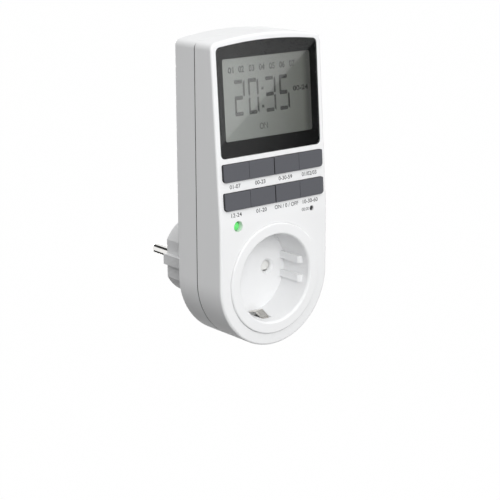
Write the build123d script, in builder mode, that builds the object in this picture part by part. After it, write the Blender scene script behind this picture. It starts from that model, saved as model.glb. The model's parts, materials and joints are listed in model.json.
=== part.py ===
"""Plug in timer switch: a wall plug, a socket and a small weekly clock in one upright housing.

The origin is the middle of the plug's face, between the two pins, which point along +Y into
the wall. The socket and the display face -Y, +X is to the right as seen from the front, and
+Z is up. A depth is how far forward of the plug's face something lies.
"""

import os
from math import asin, atan2, cos, degrees, radians, sin, sqrt, tan

from build123d import *

os.makedirs("parts", exist_ok=True)

# ---------------------------------------------------------------- driving dimensions

# Housing: a straight-sided upright with a half-round foot about the socket's axis.
# The width leaves a margin on each side of the plug recess.
RECESS_DIAMETER = 39.0
BODY_MARGIN = 10.5
BODY_WIDTH = RECESS_DIAMETER + 2 * BODY_MARGIN
CROWN_HEIGHT = 105.7
CROWN_RADIUS = 160.0
SHOULDER_RADIUS = 3.0
SHOULDER_LEAST = 0.4
WALL = 2.0
FACE_WALL = 2.5
EDGE_RADIUS = 1.0
BACK_EDGE_RADIUS = 1.0

# Depths of the housing's main levels, each a step forward of the one before.
HUB_DEPTH = 17.5
BACK_STEP = 9.1
SEAM_STEP = 13.6
FRONT_STEP = 16.4
BACK_DEPTH = HUB_DEPTH + BACK_STEP
SEAM_DEPTH = BACK_DEPTH + SEAM_STEP
FRONT_DEPTH = SEAM_DEPTH + FRONT_STEP
SEAM_GAP = 0.5
TONGUE_DEPTH = 2.0
TONGUE_WALL = 1.0
TONGUE_CLEARANCE = 0.15

# The face leans back above the kink.
KINK_HEIGHT = 27.4
LEAN_ANGLE = 4.05
KINK_BLEND = 60.0

# Plug boss and hub on the back.
BOSS_DIAMETER = 37.0
BOSS_FLATS = 32.6
BOSS_FACE_WALL = 2.5
KEY_RIB_WIDTH = 4.7
KEY_RIB_SPAN = 36.8
HUB_DIAMETER = 42.0
HUB_BASE_DIAMETER = 43.2
HUB_FLOOR = 1.5
HUB_WALL = 1.7

# Plug pins.
PIN_SPACING = 19.0
PIN_DIAMETER = 4.8
PIN_LENGTH = 19.0
PIN_TIP_RADIUS = 1.9
PIN_ROOT_DIAMETER = 5.2
PIN_COLLAR_DIAMETER = 7.0
PIN_COLLAR_THICKNESS = 1.5
PIN_STUB_DIAMETER = 4.0
PIN_STUB_SETBACK = 3.7
PIN_STUB_DEPTH = HUB_DEPTH - PIN_STUB_SETBACK

# Socket cup.
RIM_WIDTH = 5.2
RIM_DIAMETER = RECESS_DIAMETER + 2 * RIM_WIDTH
RIM_RISE = 0.8
RIM_THICKNESS = 2.0
RIM_EDGE_RADIUS = 0.7
MOUTH_FLARE = 0.5
MOUTH_DIAMETER = RECESS_DIAMETER + 2 * MOUTH_FLARE
MOUTH_EDGE = 0.3
RECESS_DEPTH = 17.5
CUP_WALL = 1.8
CUP_FLOOR = 2.0
GUIDE_REACH = 2.5
GUIDE_SPAN = RECESS_DIAMETER - 2 * GUIDE_REACH
GUIDE_SLOT = 5.4
GUIDE_WIDTH = 3.2
GUIDE_SETBACK = 4.5
GUIDE_LEAD = 1.0
PIN_HOLE_DIAMETER = 5.4
PIN_HOLE_FLARE = 0.9
CUP_FIT = 0.2
LUG_GAP = 0.1
LUG_LENGTH = 2.0
LUG_RISE = 0.9
LUG_WIDTH = 5.0
LUG_ANGLE = 20.0

# Earth spring seen in the recess, top and bottom.
EARTH_WIDTH = 4.0
EARTH_THICKNESS = 0.7
EARTH_SLOT_CLEARANCE = 0.5
EARTH_CONTACT_RISE = 2.2
EARTH_CONTACT_REACH = RECESS_DIAMETER / 2 - EARTH_CONTACT_RISE
EARTH_ARM_CLEARANCE = 3.2
EARTH_ARM_HEIGHT = RECESS_DIAMETER / 2 + EARTH_ARM_CLEARANCE
EARTH_PLUG_HEIGHT = 17.2
EARTH_PLUG_END = 1.0
EARTH_BAR_FIT = 0.05
EARTH_SPRING_SETBACK = 15.1
EARTH_SPRING_END = FRONT_DEPTH - EARTH_SPRING_SETBACK
EARTH_SPRING_RISE = 0.9
EARTH_SPRING_BACK = RECESS_DIAMETER / 2 - EARTH_SPRING_RISE
EARTH_BOW_SETBACK = 11.1
EARTH_BOW_DEPTH = FRONT_DEPTH - EARTH_BOW_SETBACK
EARTH_TURN_SETBACK = 6.4
EARTH_TURN_DEPTH = FRONT_DEPTH - EARTH_TURN_SETBACK
EARTH_BEND = 0.8
EARTH_SLOT_SPARE = 1.1

# Shutter behind the pin holes.
SHUTTER_SPAN = 26.0
SHUTTER_WIDTH = 6.4
SHUTTER_THICKNESS = 2.2
SHUTTER_HUB_DIAMETER = 8.8
SHUTTER_RAMP = 1.1
PIVOT_DIAMETER = 4.0
PIVOT_CLEARANCE = 0.04
SHUTTER_GAP = 0.35
SHUTTER_SWING = 40.0
STOP_PEG_DIAMETER = 1.8
STOP_PEG_REACH = 11.5
STOP_PEG_GAP = 0.2
SPRING_LEAF_THICKNESS = 0.4
SPRING_LEAF_WIDTH = 1.6
SPRING_LEAF_HEIGHT = 14.3
SPRING_LEAF_START = 6.0
SPRING_LEAF_BEND = -2.5
SPRING_LEAF_END = -9.2
SPRING_PEG_DIAMETER = 2.8
SPRING_PEG_X = 4.2
SPRING_PEG_STEP = 4.0
SPRING_PEG_FIT = 0.05
SPRING_LEAF_RADIUS = 2.0

# Contact carrier and the spring contacts it holds.
CARRIER_INSET = 0.7
CARRIER_DIAMETER = RECESS_DIAMETER - 2 * CARRIER_INSET
CARRIER_THICKNESS = 3.0
CHIMNEY_WALL = 1.0
CHIMNEY_SETBACK = 2.5
CHIMNEY_DEPTH = HUB_DEPTH + CHIMNEY_SETBACK
CONTACT_WIDTH = 6.0
CONTACT_THICKNESS = 0.7
CONTACT_BASE_SETBACK = 2.0
CONTACT_BASE_DEPTH = HUB_DEPTH + CONTACT_BASE_SETBACK
CONTACT_SPREAD = 3.6
CONTACT_LIP = 2.1
CONTACT_FIT = 0.15
STRAP_THICKNESS = 0.7
STRAP_WIDTH = 2.8
STRAP_WALL_GAP = 0.8
STRAP_RISE_DEPTH = BACK_DEPTH + WALL + STRAP_WALL_GAP
STRAP_HEIGHT = 9.5
STRAP_LANDING = 29.0
PIN_STRAP_WIDTH = 4.6
PIN_STRAP_HEIGHT = 7.2
FLOOR_PILLAR_INSET = 3.0
FLOOR_PILLAR_REACH = RECESS_DIAMETER / 2 - FLOOR_PILLAR_INSET
FLOOR_PILLAR_DIAMETER = 4.4
CARRIER_SCREW_SINK = 1.5
STRAP_BEND = 0.9

# Keys: two rows of four, measured up the leaning face from the kink.
KEY_BLOCK_MARGIN = 2.5
KEY_BLOCK_WIDTH = BODY_WIDTH - 2 * KEY_BLOCK_MARGIN
KEY_HEIGHT = 7.45
LOW_ROW_START = 6.3
ROW_PITCH = 12.1
KEY_GAP = 0.15
MIDDLE_GAP = 0.5
KEY_RISE = 1.15
KEY_CORNER = 1.7
KEY_TOP_CORNER = 0.4
KEY_EDGE = 0.15
KEY_FIT = 0.2
FLANGE_REACH = 0.8
FLANGE_THICKNESS = 0.8
FLANGE_GAP = 0.1
STEM_DIAMETER = 3.6

# Display: lens, bezel, glass and frame, measured up the face from the kink.
LENS_MARGIN = 2.4
LENS_WIDTH = BODY_WIDTH - 2 * LENS_MARGIN
LENS_START = 28.2
LENS_TOP_MARGIN = 2.45
LENS_END = CROWN_HEIGHT - KINK_HEIGHT - LENS_TOP_MARGIN
LENS_ARC_RADIUS = 204.0
LENS_CORNER = 2.2
LENS_THICKNESS = 0.8
BEZEL_THICKNESS = 0.5
LENS_FIT = 0.1
LENS_EDGE = 0.2
WINDOW_MARGIN = 5.75
WINDOW_WIDTH = BODY_WIDTH - 2 * WINDOW_MARGIN
WINDOW_START = 34.8
WINDOW_TOP_MARGIN = 6.5
WINDOW_END = LENS_END - WINDOW_TOP_MARGIN
WINDOW_CORNER = 1.2
BEZEL_BEVEL = 0.15
GLASS_MARGIN = 1.9
GLASS_THICKNESS = 2.0
FRAME_WALL = 1.4
GLASS_GAP = 0.1
GLASS_OPENING_FIT = 0.3
GLASS_STEP = 3.0
GLASS_FRONT_THICKNESS = 1.1
GLASS_FIT = 0.15
FRAME_LEDGE = 2.0
FRAME_LEDGE_THICKNESS = 0.8
STRIP_HEIGHT = 2.3

# Boards.
BOARD_THICKNESS = 1.2
CONTROL_BOARD_LEVEL = 8.0
CONTROL_BOARD_MARGIN = 4.0
CONTROL_BOARD_WIDTH = BODY_WIDTH - 2 * CONTROL_BOARD_MARGIN
CONTROL_BOARD_START = -3.6
CONTROL_BOARD_TOP_MARGIN = 4.85
CONTROL_BOARD_END = LENS_END - CONTROL_BOARD_TOP_MARGIN
POWER_BOARD_STANDOFF = 2.4
POWER_BOARD_DEPTH = BACK_DEPTH + WALL + POWER_BOARD_STANDOFF
POWER_BOARD_MARGIN = 4.5
POWER_BOARD_WIDTH = BODY_WIDTH - 2 * POWER_BOARD_MARGIN
POWER_BOARD_BOTTOM = 25.0
POWER_BOARD_HEADROOM = 13.7
POWER_BOARD_TOP = CROWN_HEIGHT - POWER_BOARD_HEADROOM

# Light, reset hole and their pieces, up the face from the kink.
LAMP_EDGE = 9.65
LAMP_X = LAMP_EDGE - BODY_WIDTH / 2
LAMP_UP = -1.0
LAMP_DIAMETER = 3.8
LAMP_CROWN_RADIUS = 1.6
LAMP_HOLE_DIAMETER = 4.7
LAMP_RECESS = 0.9
LAMP_FLANGE = 0.3
LAMP_FLANGE_THICKNESS = 1.0
RESET_EDGE = 9.0
RESET_X = BODY_WIDTH / 2 - RESET_EDGE
RESET_UP = 0.6
RESET_HOLE_DIAMETER = 2.35
RESET_ROD_DIAMETER = 2.0
RESET_RECESS = 0.6

# Components on the control board, up the face from the kink.
MICRO_X = 0.0
MICRO_UP = 46.0
MICRO_SIZE = 10.0
MICRO_THICKNESS = 1.4
MICRO_EDGE = 0.28
CRYSTAL_X = 12.0
CRYSTAL_LENGTH = 8.0
CRYSTAL_WIDTH = 2.2

# Components on the power board: centres (x, height) and sizes (width, height). The tall ones
# leave some headroom behind the control board.
RELAY_CENTRE = (-9.0, 37.0)
RELAY_SIZE = (28.6, 10.2)
RELAY_HEADROOM = 2.9
RELAY_EDGE = 0.6
DROPPER_CENTRE = (-10.0, 48.5)
DROPPER_SIZE = (26.5, 8.5)
DROPPER_HEADROOM = 3.7
DROPPER_EDGE = 0.8
RECTIFIER_CENTRE = (13.0, 61.0)
RECTIFIER_SIZE = (8.5, 6.5)
RECTIFIER_REACH = 3.3
RECTIFIER_EDGE = 0.5
RESERVOIR_CENTRE = (16.0, 39.0)
RESERVOIR_DIAMETER = 10.0
RESERVOIR_HEADROOM = 3.2
RESERVOIR_EDGE = 0.7
FUSE_CENTRE = (-10.0, 60.0)
FUSE_DIAMETER = 3.8
FUSE_LENGTH = 9.5
FUSE_EDGE = 0.8
VARISTOR_CENTRE = (16.0, 51.0)
VARISTOR_DIAMETER = 9.0
VARISTOR_THICKNESS = 4.2
VARISTOR_EDGE = 1.0
LINK_CENTRE = (-14.0, 72.0)
LINK_WAYS = 6
LINK_PITCH = 2.54
LINK_HEIGHT = 2.6
LINK_PIN = 0.64
LINK_BODY_SHARE = 0.7
CELL_CENTRE = (9.0, 77.0)
CELL_DIAMETER = 15.5
CELL_THICKNESS = 6.0
CELL_EDGE = 0.6
CELL_FIT = 0.05
CELL_TAB_WIDTH = 5.0
CELL_TAB_THICKNESS = 0.4
CELL_TAB_CLEARANCE = 0.6
CELL_TAB_LAP = 3.9

# Rubber key mat.
MAT_THICKNESS = 0.8
DOME_HEIGHT = 2.0
DOME_BASE_DIAMETER = 6.0
DOME_TOP_DIAMETER = 3.8
DOME_GAP = 0.1
DOME_ROOF = 0.7
DOME_WALL = 0.2
DOME_MARGIN = 1.0
MAT_INSET = 1.5

# Screws.
CASE_SCREW_DIAMETER = 2.9
CASE_SCREW_HEAD = 5.4
CASE_SCREW_HEAD_HEIGHT = 1.8
CASE_SCREW_LENGTH = 18.0
CASE_SCREW_SINK = 2.4
CASE_SCREW_FIT = 0.2
CASE_PILOT_SPARE = 0.5
CASE_PILLAR_DIAMETER = 6.2
MIDDLE_SCREW_EDGE = 4.8
MIDDLE_SCREW_X = BODY_WIDTH / 2 - MIDDLE_SCREW_EDGE
MIDDLE_SCREW_HEIGHT = 17.5
LOW_SCREW_EDGE = 4.5
LOW_SCREW_REACH = BODY_WIDTH / 2 - LOW_SCREW_EDGE

# Hooks that hold the shells together at the top.
HOOK_X = 14.0
HOOK_WIDTH = 8.0
HOOK_REACH = 4.5
HOOK_ROOT = 2.5
HOOK_THICKNESS = 1.3
HOOK_HEADROOM = 3.0
HOOK_TOP = CROWN_HEIGHT - HOOK_HEADROOM
HOOK_BUMP = 0.9
HOOK_BUMP_LENGTH = 1.6
HOOK_FIT = 0.25

# Small screws of the boards and the contact carrier.
SMALL_SCREW_DIAMETER = 2.0
SMALL_SCREW_HEAD = 3.6
SMALL_SCREW_HEAD_HEIGHT = 1.4
SMALL_SCREW_LENGTH = 4.0
SMALL_POST_DIAMETER = 4.0
SMALL_SCREW_FIT = 0.15
CONTROL_HIGH_SCREW_EDGE = 10.0
CONTROL_HIGH_SCREW_X = BODY_WIDTH / 2 - CONTROL_HIGH_SCREW_EDGE
CONTROL_HIGH_SCREW_UP = 29.25
CONTROL_LOW_SCREW_X = 9.0
CONTROL_LOW_SCREW_UP = 1.6
POWER_SCREW_EDGE = 8.5
POWER_SCREW_X = BODY_WIDTH / 2 - POWER_SCREW_EDGE
POWER_SCREW_INSET = 4.3
SCREW_POINT = 0.3
SCREW_CROWN = 0.45

# ---------------------------------------------------------------- derived sizes and planes

HALF_WIDTH = BODY_WIDTH / 2
CROWN_CENTRE = CROWN_HEIGHT - CROWN_RADIUS
PIN_X = PIN_SPACING / 2
RIM_DEPTH = FRONT_DEPTH + RIM_RISE
FLOOR_DEPTH = RIM_DEPTH - RECESS_DEPTH
CUP_BACK_DEPTH = FLOOR_DEPTH - CUP_FLOOR
CUP_RADIUS = RECESS_DIAMETER / 2 + CUP_WALL
FACE_INNER_DEPTH = FRONT_DEPTH - FACE_WALL
BACK_INNER_DEPTH = BACK_DEPTH + WALL
SHUTTER_FRONT_DEPTH = CUP_BACK_DEPTH - SHUTTER_GAP
SHUTTER_BACK_DEPTH = SHUTTER_FRONT_DEPTH - SHUTTER_THICKNESS
CARRIER_FRONT_DEPTH = SHUTTER_BACK_DEPTH - SHUTTER_GAP
CARRIER_BACK_DEPTH = CARRIER_FRONT_DEPTH - CARRIER_THICKNESS
CHIMNEY_INNER_HEIGHT = 2 * CONTACT_SPREAD + CONTACT_THICKNESS + 2 * CONTACT_FIT
CHIMNEY_INNER_WIDTH = CONTACT_WIDTH + 2 * CONTACT_FIT
PIN_STRAP_DEPTH = PIN_STUB_DEPTH + STRAP_THICKNESS / 2
EARTH_BAR_DEPTH = CARRIER_BACK_DEPTH - EARTH_BAR_FIT - EARTH_THICKNESS / 2
CASE_SCREW_SEAT = BACK_DEPTH + CASE_SCREW_SINK
TONGUE_END_DEPTH = SEAM_DEPTH - TONGUE_DEPTH
FRONT_BACK_DEPTH = SEAM_DEPTH + SEAM_GAP / 2
CASE_PILOT_END = CASE_SCREW_SEAT + CASE_SCREW_LENGTH + CASE_PILOT_SPARE
POWER_BOARD_FRONT = POWER_BOARD_DEPTH + BOARD_THICKNESS
CONTROL_BOARD_BACK = CONTROL_BOARD_LEVEL + BOARD_THICKNESS
KEY_WIDTH = (KEY_BLOCK_WIDTH - 2 * KEY_GAP - MIDDLE_GAP) / 4
MAT_LEVEL = CONTROL_BOARD_LEVEL - MAT_THICKNESS
DOME_LEVEL = MAT_LEVEL - DOME_HEIGHT
POCKET_FLOOR = FACE_WALL - LENS_THICKNESS - BEZEL_THICKNESS
GLASS_LEVEL = LENS_THICKNESS + BEZEL_THICKNESS + GLASS_GAP
GLASS_BACK_LEVEL = GLASS_LEVEL + GLASS_THICKNESS
GLASS_WIDTH = WINDOW_WIDTH + 2 * GLASS_MARGIN
GLASS_HEIGHT = WINDOW_END - WINDOW_START + 2 * GLASS_MARGIN
GLASS_MIDDLE = (WINDOW_START + WINDOW_END) / 2
GLASS_STEP_MIDDLE = WINDOW_START - GLASS_MARGIN + GLASS_STEP / 2
COMPONENT_BAY = FRONT_DEPTH - CONTROL_BOARD_BACK - POWER_BOARD_FRONT

# Cuts run this far past the solid that they cut, and features this close count as one place.
OVERSHOOT = 1.0
SAME_PLACE = 1e-4
FORWARD_NORMAL = -0.9

# Side views are drawn with their first axis forward and their second axis up.
SIDE = Plane((0, 0, 0), x_dir=(0, -1, 0), z_dir=(-1, 0, 0))
LEAN = radians(LEAN_ANGLE)
FACE_AXIS = Axis((0, 0, 0), (0, -cos(LEAN), sin(LEAN)))


def face_plane(level):
    """Plane of the leaning face, sunk inwards by level: X right, Y up the face from the kink."""
    kink = Vector(0, -FRONT_DEPTH, KINK_HEIGHT)
    outward = Vector(0, -cos(LEAN), sin(LEAN))
    return Plane(kink - outward * level, x_dir=(1, 0, 0), z_dir=outward)


def face_depth(height, level):
    """Depth of the leaning face at a height, sunk inwards by level."""
    return FRONT_DEPTH - (height - KINK_HEIGHT) * tan(LEAN) - level / cos(LEAN)


def side_plane(x):
    """Side view plane at x."""
    return SIDE.offset(-x)


def row_start(row):
    """How far up the face the given row of keys starts, the low row being row 0."""
    return LOW_ROW_START + row * ROW_PITCH


def row_centre(row):
    """How far up the face the middle of a row of keys is."""
    return row_start(row) + KEY_HEIGHT / 2


def key_centre_x(column):
    """Middle of a key, columns counting from 0 at the left."""
    side = -1 if column < 2 else 1
    steps = 1.5 if column in (0, 3) else 0.5
    return side * (MIDDLE_GAP / 2 + steps * KEY_WIDTH + (steps - 0.5) * KEY_GAP)


LOW_SCREW_OFFSET = LOW_SCREW_REACH * sin(radians(45))
CASE_SCREW_PLACES = [
    (-MIDDLE_SCREW_X, MIDDLE_SCREW_HEIGHT),
    (MIDDLE_SCREW_X, MIDDLE_SCREW_HEIGHT),
    (-LOW_SCREW_OFFSET, -LOW_SCREW_OFFSET),
    (LOW_SCREW_OFFSET, -LOW_SCREW_OFFSET),
]
CONTROL_SCREW_PLACES = [
    (-CONTROL_HIGH_SCREW_X, CONTROL_HIGH_SCREW_UP),
    (CONTROL_HIGH_SCREW_X, CONTROL_HIGH_SCREW_UP),
    (-CONTROL_LOW_SCREW_X, CONTROL_LOW_SCREW_UP),
    (CONTROL_LOW_SCREW_X, CONTROL_LOW_SCREW_UP),
]
POWER_SCREW_PLACES = [
    (-POWER_SCREW_X, POWER_BOARD_BOTTOM + POWER_SCREW_INSET),
    (POWER_SCREW_X, POWER_BOARD_BOTTOM + POWER_SCREW_INSET),
    (-POWER_SCREW_X, POWER_BOARD_TOP - POWER_SCREW_INSET),
    (POWER_SCREW_X, POWER_BOARD_TOP - POWER_SCREW_INSET),
]
FLOOR_PILLAR_OFFSET = FLOOR_PILLAR_REACH * sin(radians(45))
CARRIER_SCREW_PLACES = [
    (-FLOOR_PILLAR_OFFSET, FLOOR_PILLAR_OFFSET),
    (FLOOR_PILLAR_OFFSET, -FLOOR_PILLAR_OFFSET),
]
KEY_PLACES = [(key_centre_x(column), row_centre(row)) for row in (1, 0) for column in range(4)]
DOME_PLACES = KEY_PLACES + [(RESET_X, RESET_UP)]

# The shutter rests against one peg and opens until it meets the other.
SPRING_PEG_OFFSET = (SPRING_LEAF_THICKNESS + SPRING_PEG_DIAMETER) / 2 + SPRING_PEG_FIT
SPRING_PEG_PLACES = [
    (SPRING_PEG_X, SPRING_LEAF_HEIGHT - SPRING_PEG_OFFSET),
    (SPRING_PEG_X - SPRING_PEG_STEP, SPRING_LEAF_HEIGHT + SPRING_PEG_OFFSET),
]
STOP_PEG_OFFSET = SHUTTER_WIDTH / 2 + STOP_PEG_GAP + STOP_PEG_DIAMETER / 2
STOP_PEG_ANGLE = degrees(asin(STOP_PEG_OFFSET / STOP_PEG_REACH))
STOP_PEG_PLACES = [
    (STOP_PEG_REACH * cos(radians(angle)), STOP_PEG_REACH * sin(radians(angle)))
    for angle in (STOP_PEG_ANGLE, -SHUTTER_SWING - STOP_PEG_ANGLE)
]
CARRIER_PILOT = SMALL_SCREW_LENGTH - CARRIER_THICKNESS + CARRIER_SCREW_SINK


# ---------------------------------------------------------------- housing blocks


def housing_outline(inset):
    """Sketch of the housing's outline, drawn in by inset."""
    half = HALF_WIDTH - inset
    radius = CROWN_RADIUS - inset
    eaves = CROWN_CENTRE + sqrt(radius**2 - half**2)
    with BuildSketch() as outline:
        with BuildLine():
            foot = ThreePointArc((-half, 0), (0, -half), (half, 0))
            right = Line(foot @ 1, (half, eaves))
            crown = ThreePointArc(right @ 1, (0, CROWN_CENTRE + radius), (-half, eaves))
            Line(crown @ 1, foot @ 0)
        make_face()
        fillet(outline.vertices().group_by(Axis.Y)[-1], max(SHOULDER_RADIUS - inset, SHOULDER_LEAST))
    return outline.sketch


def housing_block(inset, back, front):
    """Solid of the housing outline between two depths."""
    with BuildPart() as block:
        with BuildSketch(Plane.XZ.offset(back)):
            add(housing_outline(inset))
        extrude(amount=front - back)
    return block.part


def leaning_block(inset, back, front):
    """Housing block whose front leans back above the kink, with the kink well rounded."""
    below = -HALF_WIDTH - OVERSHOOT
    above = CROWN_HEIGHT + OVERSHOOT
    with BuildPart() as block:
        add(housing_block(inset, back, front))
        with BuildSketch(SIDE):
            with BuildLine():
                top_front = (front - (above - KINK_HEIGHT) * tan(LEAN), above)
                face_line = FilletPolyline((front, below), (front, KINK_HEIGHT), top_front, radius=KINK_BLEND)
                behind = back - OVERSHOOT
                Polyline(face_line @ 1, (behind, above), (behind, below), face_line @ 0)
            make_face()
        extrude(amount=HALF_WIDTH + OVERSHOOT, both=True, mode=Mode.INTERSECT)
    return block.part


def lens_outline(grow):
    """Sketch of the lens on the face, arched at the top, grown by a clearance."""
    half = LENS_WIDTH / 2 + grow
    start = LENS_START - grow
    radius = LENS_ARC_RADIUS + grow
    centre = LENS_END - LENS_ARC_RADIUS
    eaves = centre + sqrt(radius**2 - half**2)
    with BuildSketch() as outline:
        with BuildLine():
            crown = ThreePointArc((half, eaves), (0, centre + radius), (-half, eaves))
            Polyline(crown @ 1, (-half, start), (half, start), crown @ 0)
        make_face()
        fillet(outline.vertices(), LENS_CORNER + grow)
    return outline.sketch


def glass_outline(grow):
    """Sketch of the display glass on the face, grown by a margin."""
    with BuildSketch() as outline:
        with Locations((0, GLASS_MIDDLE)):
            Rectangle(GLASS_WIDTH + 2 * grow, GLASS_HEIGHT + 2 * grow)
    return outline.sketch


def row_outline(row, grow):
    """Sketch of a whole row of keys on the face, with rounder corners below, grown by a clearance."""
    with BuildSketch() as outline:
        with Locations((0, row_centre(row))):
            Rectangle(KEY_BLOCK_WIDTH + 2 * grow, KEY_HEIGHT + 2 * grow)
        fillet(outline.vertices().group_by(Axis.Y)[0], KEY_CORNER + grow)
        fillet(outline.vertices().group_by(Axis.Y)[-1], KEY_TOP_CORNER + grow)
    return outline.sketch


def bent_strip(points, thickness, width, x, bend):
    """Flat metal strip bent along (depth, height) points, its middle at x."""
    with BuildPart() as strip:
        with BuildSketch(side_plane(x)):
            with BuildLine():
                FilletPolyline(*points, radius=bend)
            trace(line_width=thickness)
        extrude(amount=width / 2, both=True)
    return strip.part


def circles_at(part, radius, depth):
    """Round edges of a part with a given radius at a given depth."""
    rounds = part.edges().filter_by(GeomType.CIRCLE)
    like = rounds.filter_by(lambda edge: abs(edge.radius - radius) < SAME_PLACE)
    return like.filter_by(lambda edge: abs(edge.center().Y + depth) < SAME_PLACE)


def front_rim(part):
    """Edges round the front of a housing block, without the level lines beside the kink."""
    faces = part.faces().filter_by(lambda face: face.normal_at().Y < FORWARD_NORMAL)
    return faces.edges().filter_by(Axis.X, reverse=True)


def screw(diameter, head, head_height, length):
    """Pan-head screw that points along its place's normal, its head behind that place."""
    with BuildPart() as body:
        with BuildSketch(Plane.XY):
            Circle(diameter / 2)
        extrude(amount=length)
        chamfer(body.edges().sort_by(Axis.Z)[-1], diameter * SCREW_POINT)
        with BuildSketch(Plane.XY):
            Circle(head / 2)
        extrude(amount=-head_height)
        chamfer(body.edges().sort_by(Axis.Z)[0], head_height * SCREW_CROWN)
    return body.part


def screw_group(one_screw, plane, places):
    """Like screws at their places on a plane."""
    with BuildPart() as group:
        with Locations(plane):
            with Locations(*places):
                add(one_screw)
    return group.part


# ---------------------------------------------------------------- rear shell

with BuildPart() as rear_shell:
    add(housing_block(0, BACK_DEPTH, SEAM_DEPTH))
    back_rim = rear_shell.faces().sort_by(Axis.Y)[-1].edges()
    fillet(back_rim, BACK_EDGE_RADIUS)

    # The hub stands on the wall plate, and the boss goes into the wall socket.
    with BuildSketch(Plane.XZ.offset(BACK_DEPTH + WALL / 2)):
        Circle(HUB_BASE_DIAMETER / 2)
    with BuildSketch(Plane.XZ.offset(HUB_DEPTH)):
        Circle(HUB_DIAMETER / 2)
    loft()
    with BuildSketch(Plane.XZ):
        Circle(BOSS_DIAMETER / 2)
        Rectangle(BOSS_FLATS, BOSS_DIAMETER, mode=Mode.INTERSECT)
        Rectangle(KEY_RIB_SPAN, KEY_RIB_WIDTH)
    extrude(amount=HUB_DEPTH + WALL / 2)

    # Hollow of the shell, the hub and the boss.
    add(housing_block(WALL, BACK_INNER_DEPTH, SEAM_DEPTH + OVERSHOOT), mode=Mode.SUBTRACT)
    with BuildSketch(Plane.XZ.offset(HUB_DEPTH + HUB_FLOOR)):
        Circle(HUB_DIAMETER / 2 - HUB_WALL)
    extrude(amount=BACK_INNER_DEPTH - HUB_DEPTH, mode=Mode.SUBTRACT)
    with BuildSketch(Plane.XZ.offset(BOSS_FACE_WALL)):
        Circle(BOSS_DIAMETER / 2 - BOSS_FACE_WALL)
        Rectangle(BOSS_FLATS - 2 * WALL, BOSS_DIAMETER, mode=Mode.INTERSECT)
    extrude(amount=HUB_DEPTH, mode=Mode.SUBTRACT)

    # Bores of the plug pins, and the earth grooves at the top and bottom of the boss.
    with BuildSketch(Plane.XZ):
        with Locations((-PIN_X, 0), (PIN_X, 0)):
            Circle(PIN_ROOT_DIAMETER / 2)
    extrude(amount=BOSS_FACE_WALL, mode=Mode.SUBTRACT)
    groove_floor = EARTH_PLUG_HEIGHT - EARTH_THICKNESS / 2 - EARTH_BAR_FIT
    groove_mouth = BOSS_DIAMETER / 2 + OVERSHOOT
    slot_roof = EARTH_PLUG_HEIGHT + EARTH_THICKNESS / 2 + EARTH_BAR_FIT
    for side in (1, -1):
        with BuildSketch(Plane.XZ):
            with Locations((0, side * (groove_floor + groove_mouth) / 2)):
                Rectangle(EARTH_WIDTH + EARTH_SLOT_CLEARANCE, groove_mouth - groove_floor)
        extrude(amount=HUB_DEPTH, mode=Mode.SUBTRACT)
        with BuildSketch(Plane.XZ.offset(HUB_DEPTH)):
            with Locations((0, side * (groove_floor + slot_roof) / 2)):
                Rectangle(EARTH_WIDTH + EARTH_SLOT_CLEARANCE, slot_roof - groove_floor)
        extrude(amount=HUB_FLOOR, mode=Mode.SUBTRACT)

    # Pillars for the case screws and the power board.
    with BuildSketch(Plane.XZ.offset(BACK_DEPTH + WALL / 2)):
        with Locations(*CASE_SCREW_PLACES):
            Circle(CASE_PILLAR_DIAMETER / 2)
    extrude(amount=TONGUE_END_DEPTH - BACK_DEPTH - WALL / 2)
    with BuildSketch(Plane.XZ.offset(BACK_DEPTH + WALL / 2)):
        with Locations(*POWER_SCREW_PLACES):
            Circle(SMALL_POST_DIAMETER / 2)
    extrude(amount=POWER_BOARD_DEPTH - BACK_DEPTH - WALL / 2)
    with BuildSketch(Plane.XZ.offset(BACK_DEPTH)):
        with Locations(*CASE_SCREW_PLACES):
            Circle(CASE_SCREW_HEAD / 2 + CASE_SCREW_FIT)
    extrude(amount=CASE_SCREW_SINK, mode=Mode.SUBTRACT)
    with BuildSketch(Plane.XZ.offset(BACK_DEPTH)):
        with Locations(*CASE_SCREW_PLACES):
            Circle(CASE_SCREW_DIAMETER / 2 + CASE_SCREW_FIT)
    extrude(amount=SEAM_DEPTH - BACK_DEPTH, mode=Mode.SUBTRACT)
    with BuildSketch(Plane.XZ.offset(POWER_BOARD_FRONT - SMALL_SCREW_LENGTH)):
        with Locations(*POWER_SCREW_PLACES):
            Circle(SMALL_SCREW_DIAMETER / 2)
    extrude(amount=SMALL_SCREW_LENGTH, mode=Mode.SUBTRACT)

    # Pockets that catch the front shell's hooks.
    pocket_end = SEAM_DEPTH - HOOK_REACH - HOOK_FIT
    pocket_length = HOOK_BUMP_LENGTH + 2 * HOOK_FIT
    with BuildSketch(Plane.XZ.offset(pocket_end)):
        with Locations((-HOOK_X, HOOK_TOP), (HOOK_X, HOOK_TOP)):
            Rectangle(HOOK_WIDTH + 2 * HOOK_FIT, 2 * (HOOK_BUMP + HOOK_FIT))
    extrude(amount=pocket_length, mode=Mode.SUBTRACT)

rear_shell.part.label = "rear_shell"
export_step(rear_shell.part, "parts/rear_shell.step")

# ---------------------------------------------------------------- front shell

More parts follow.
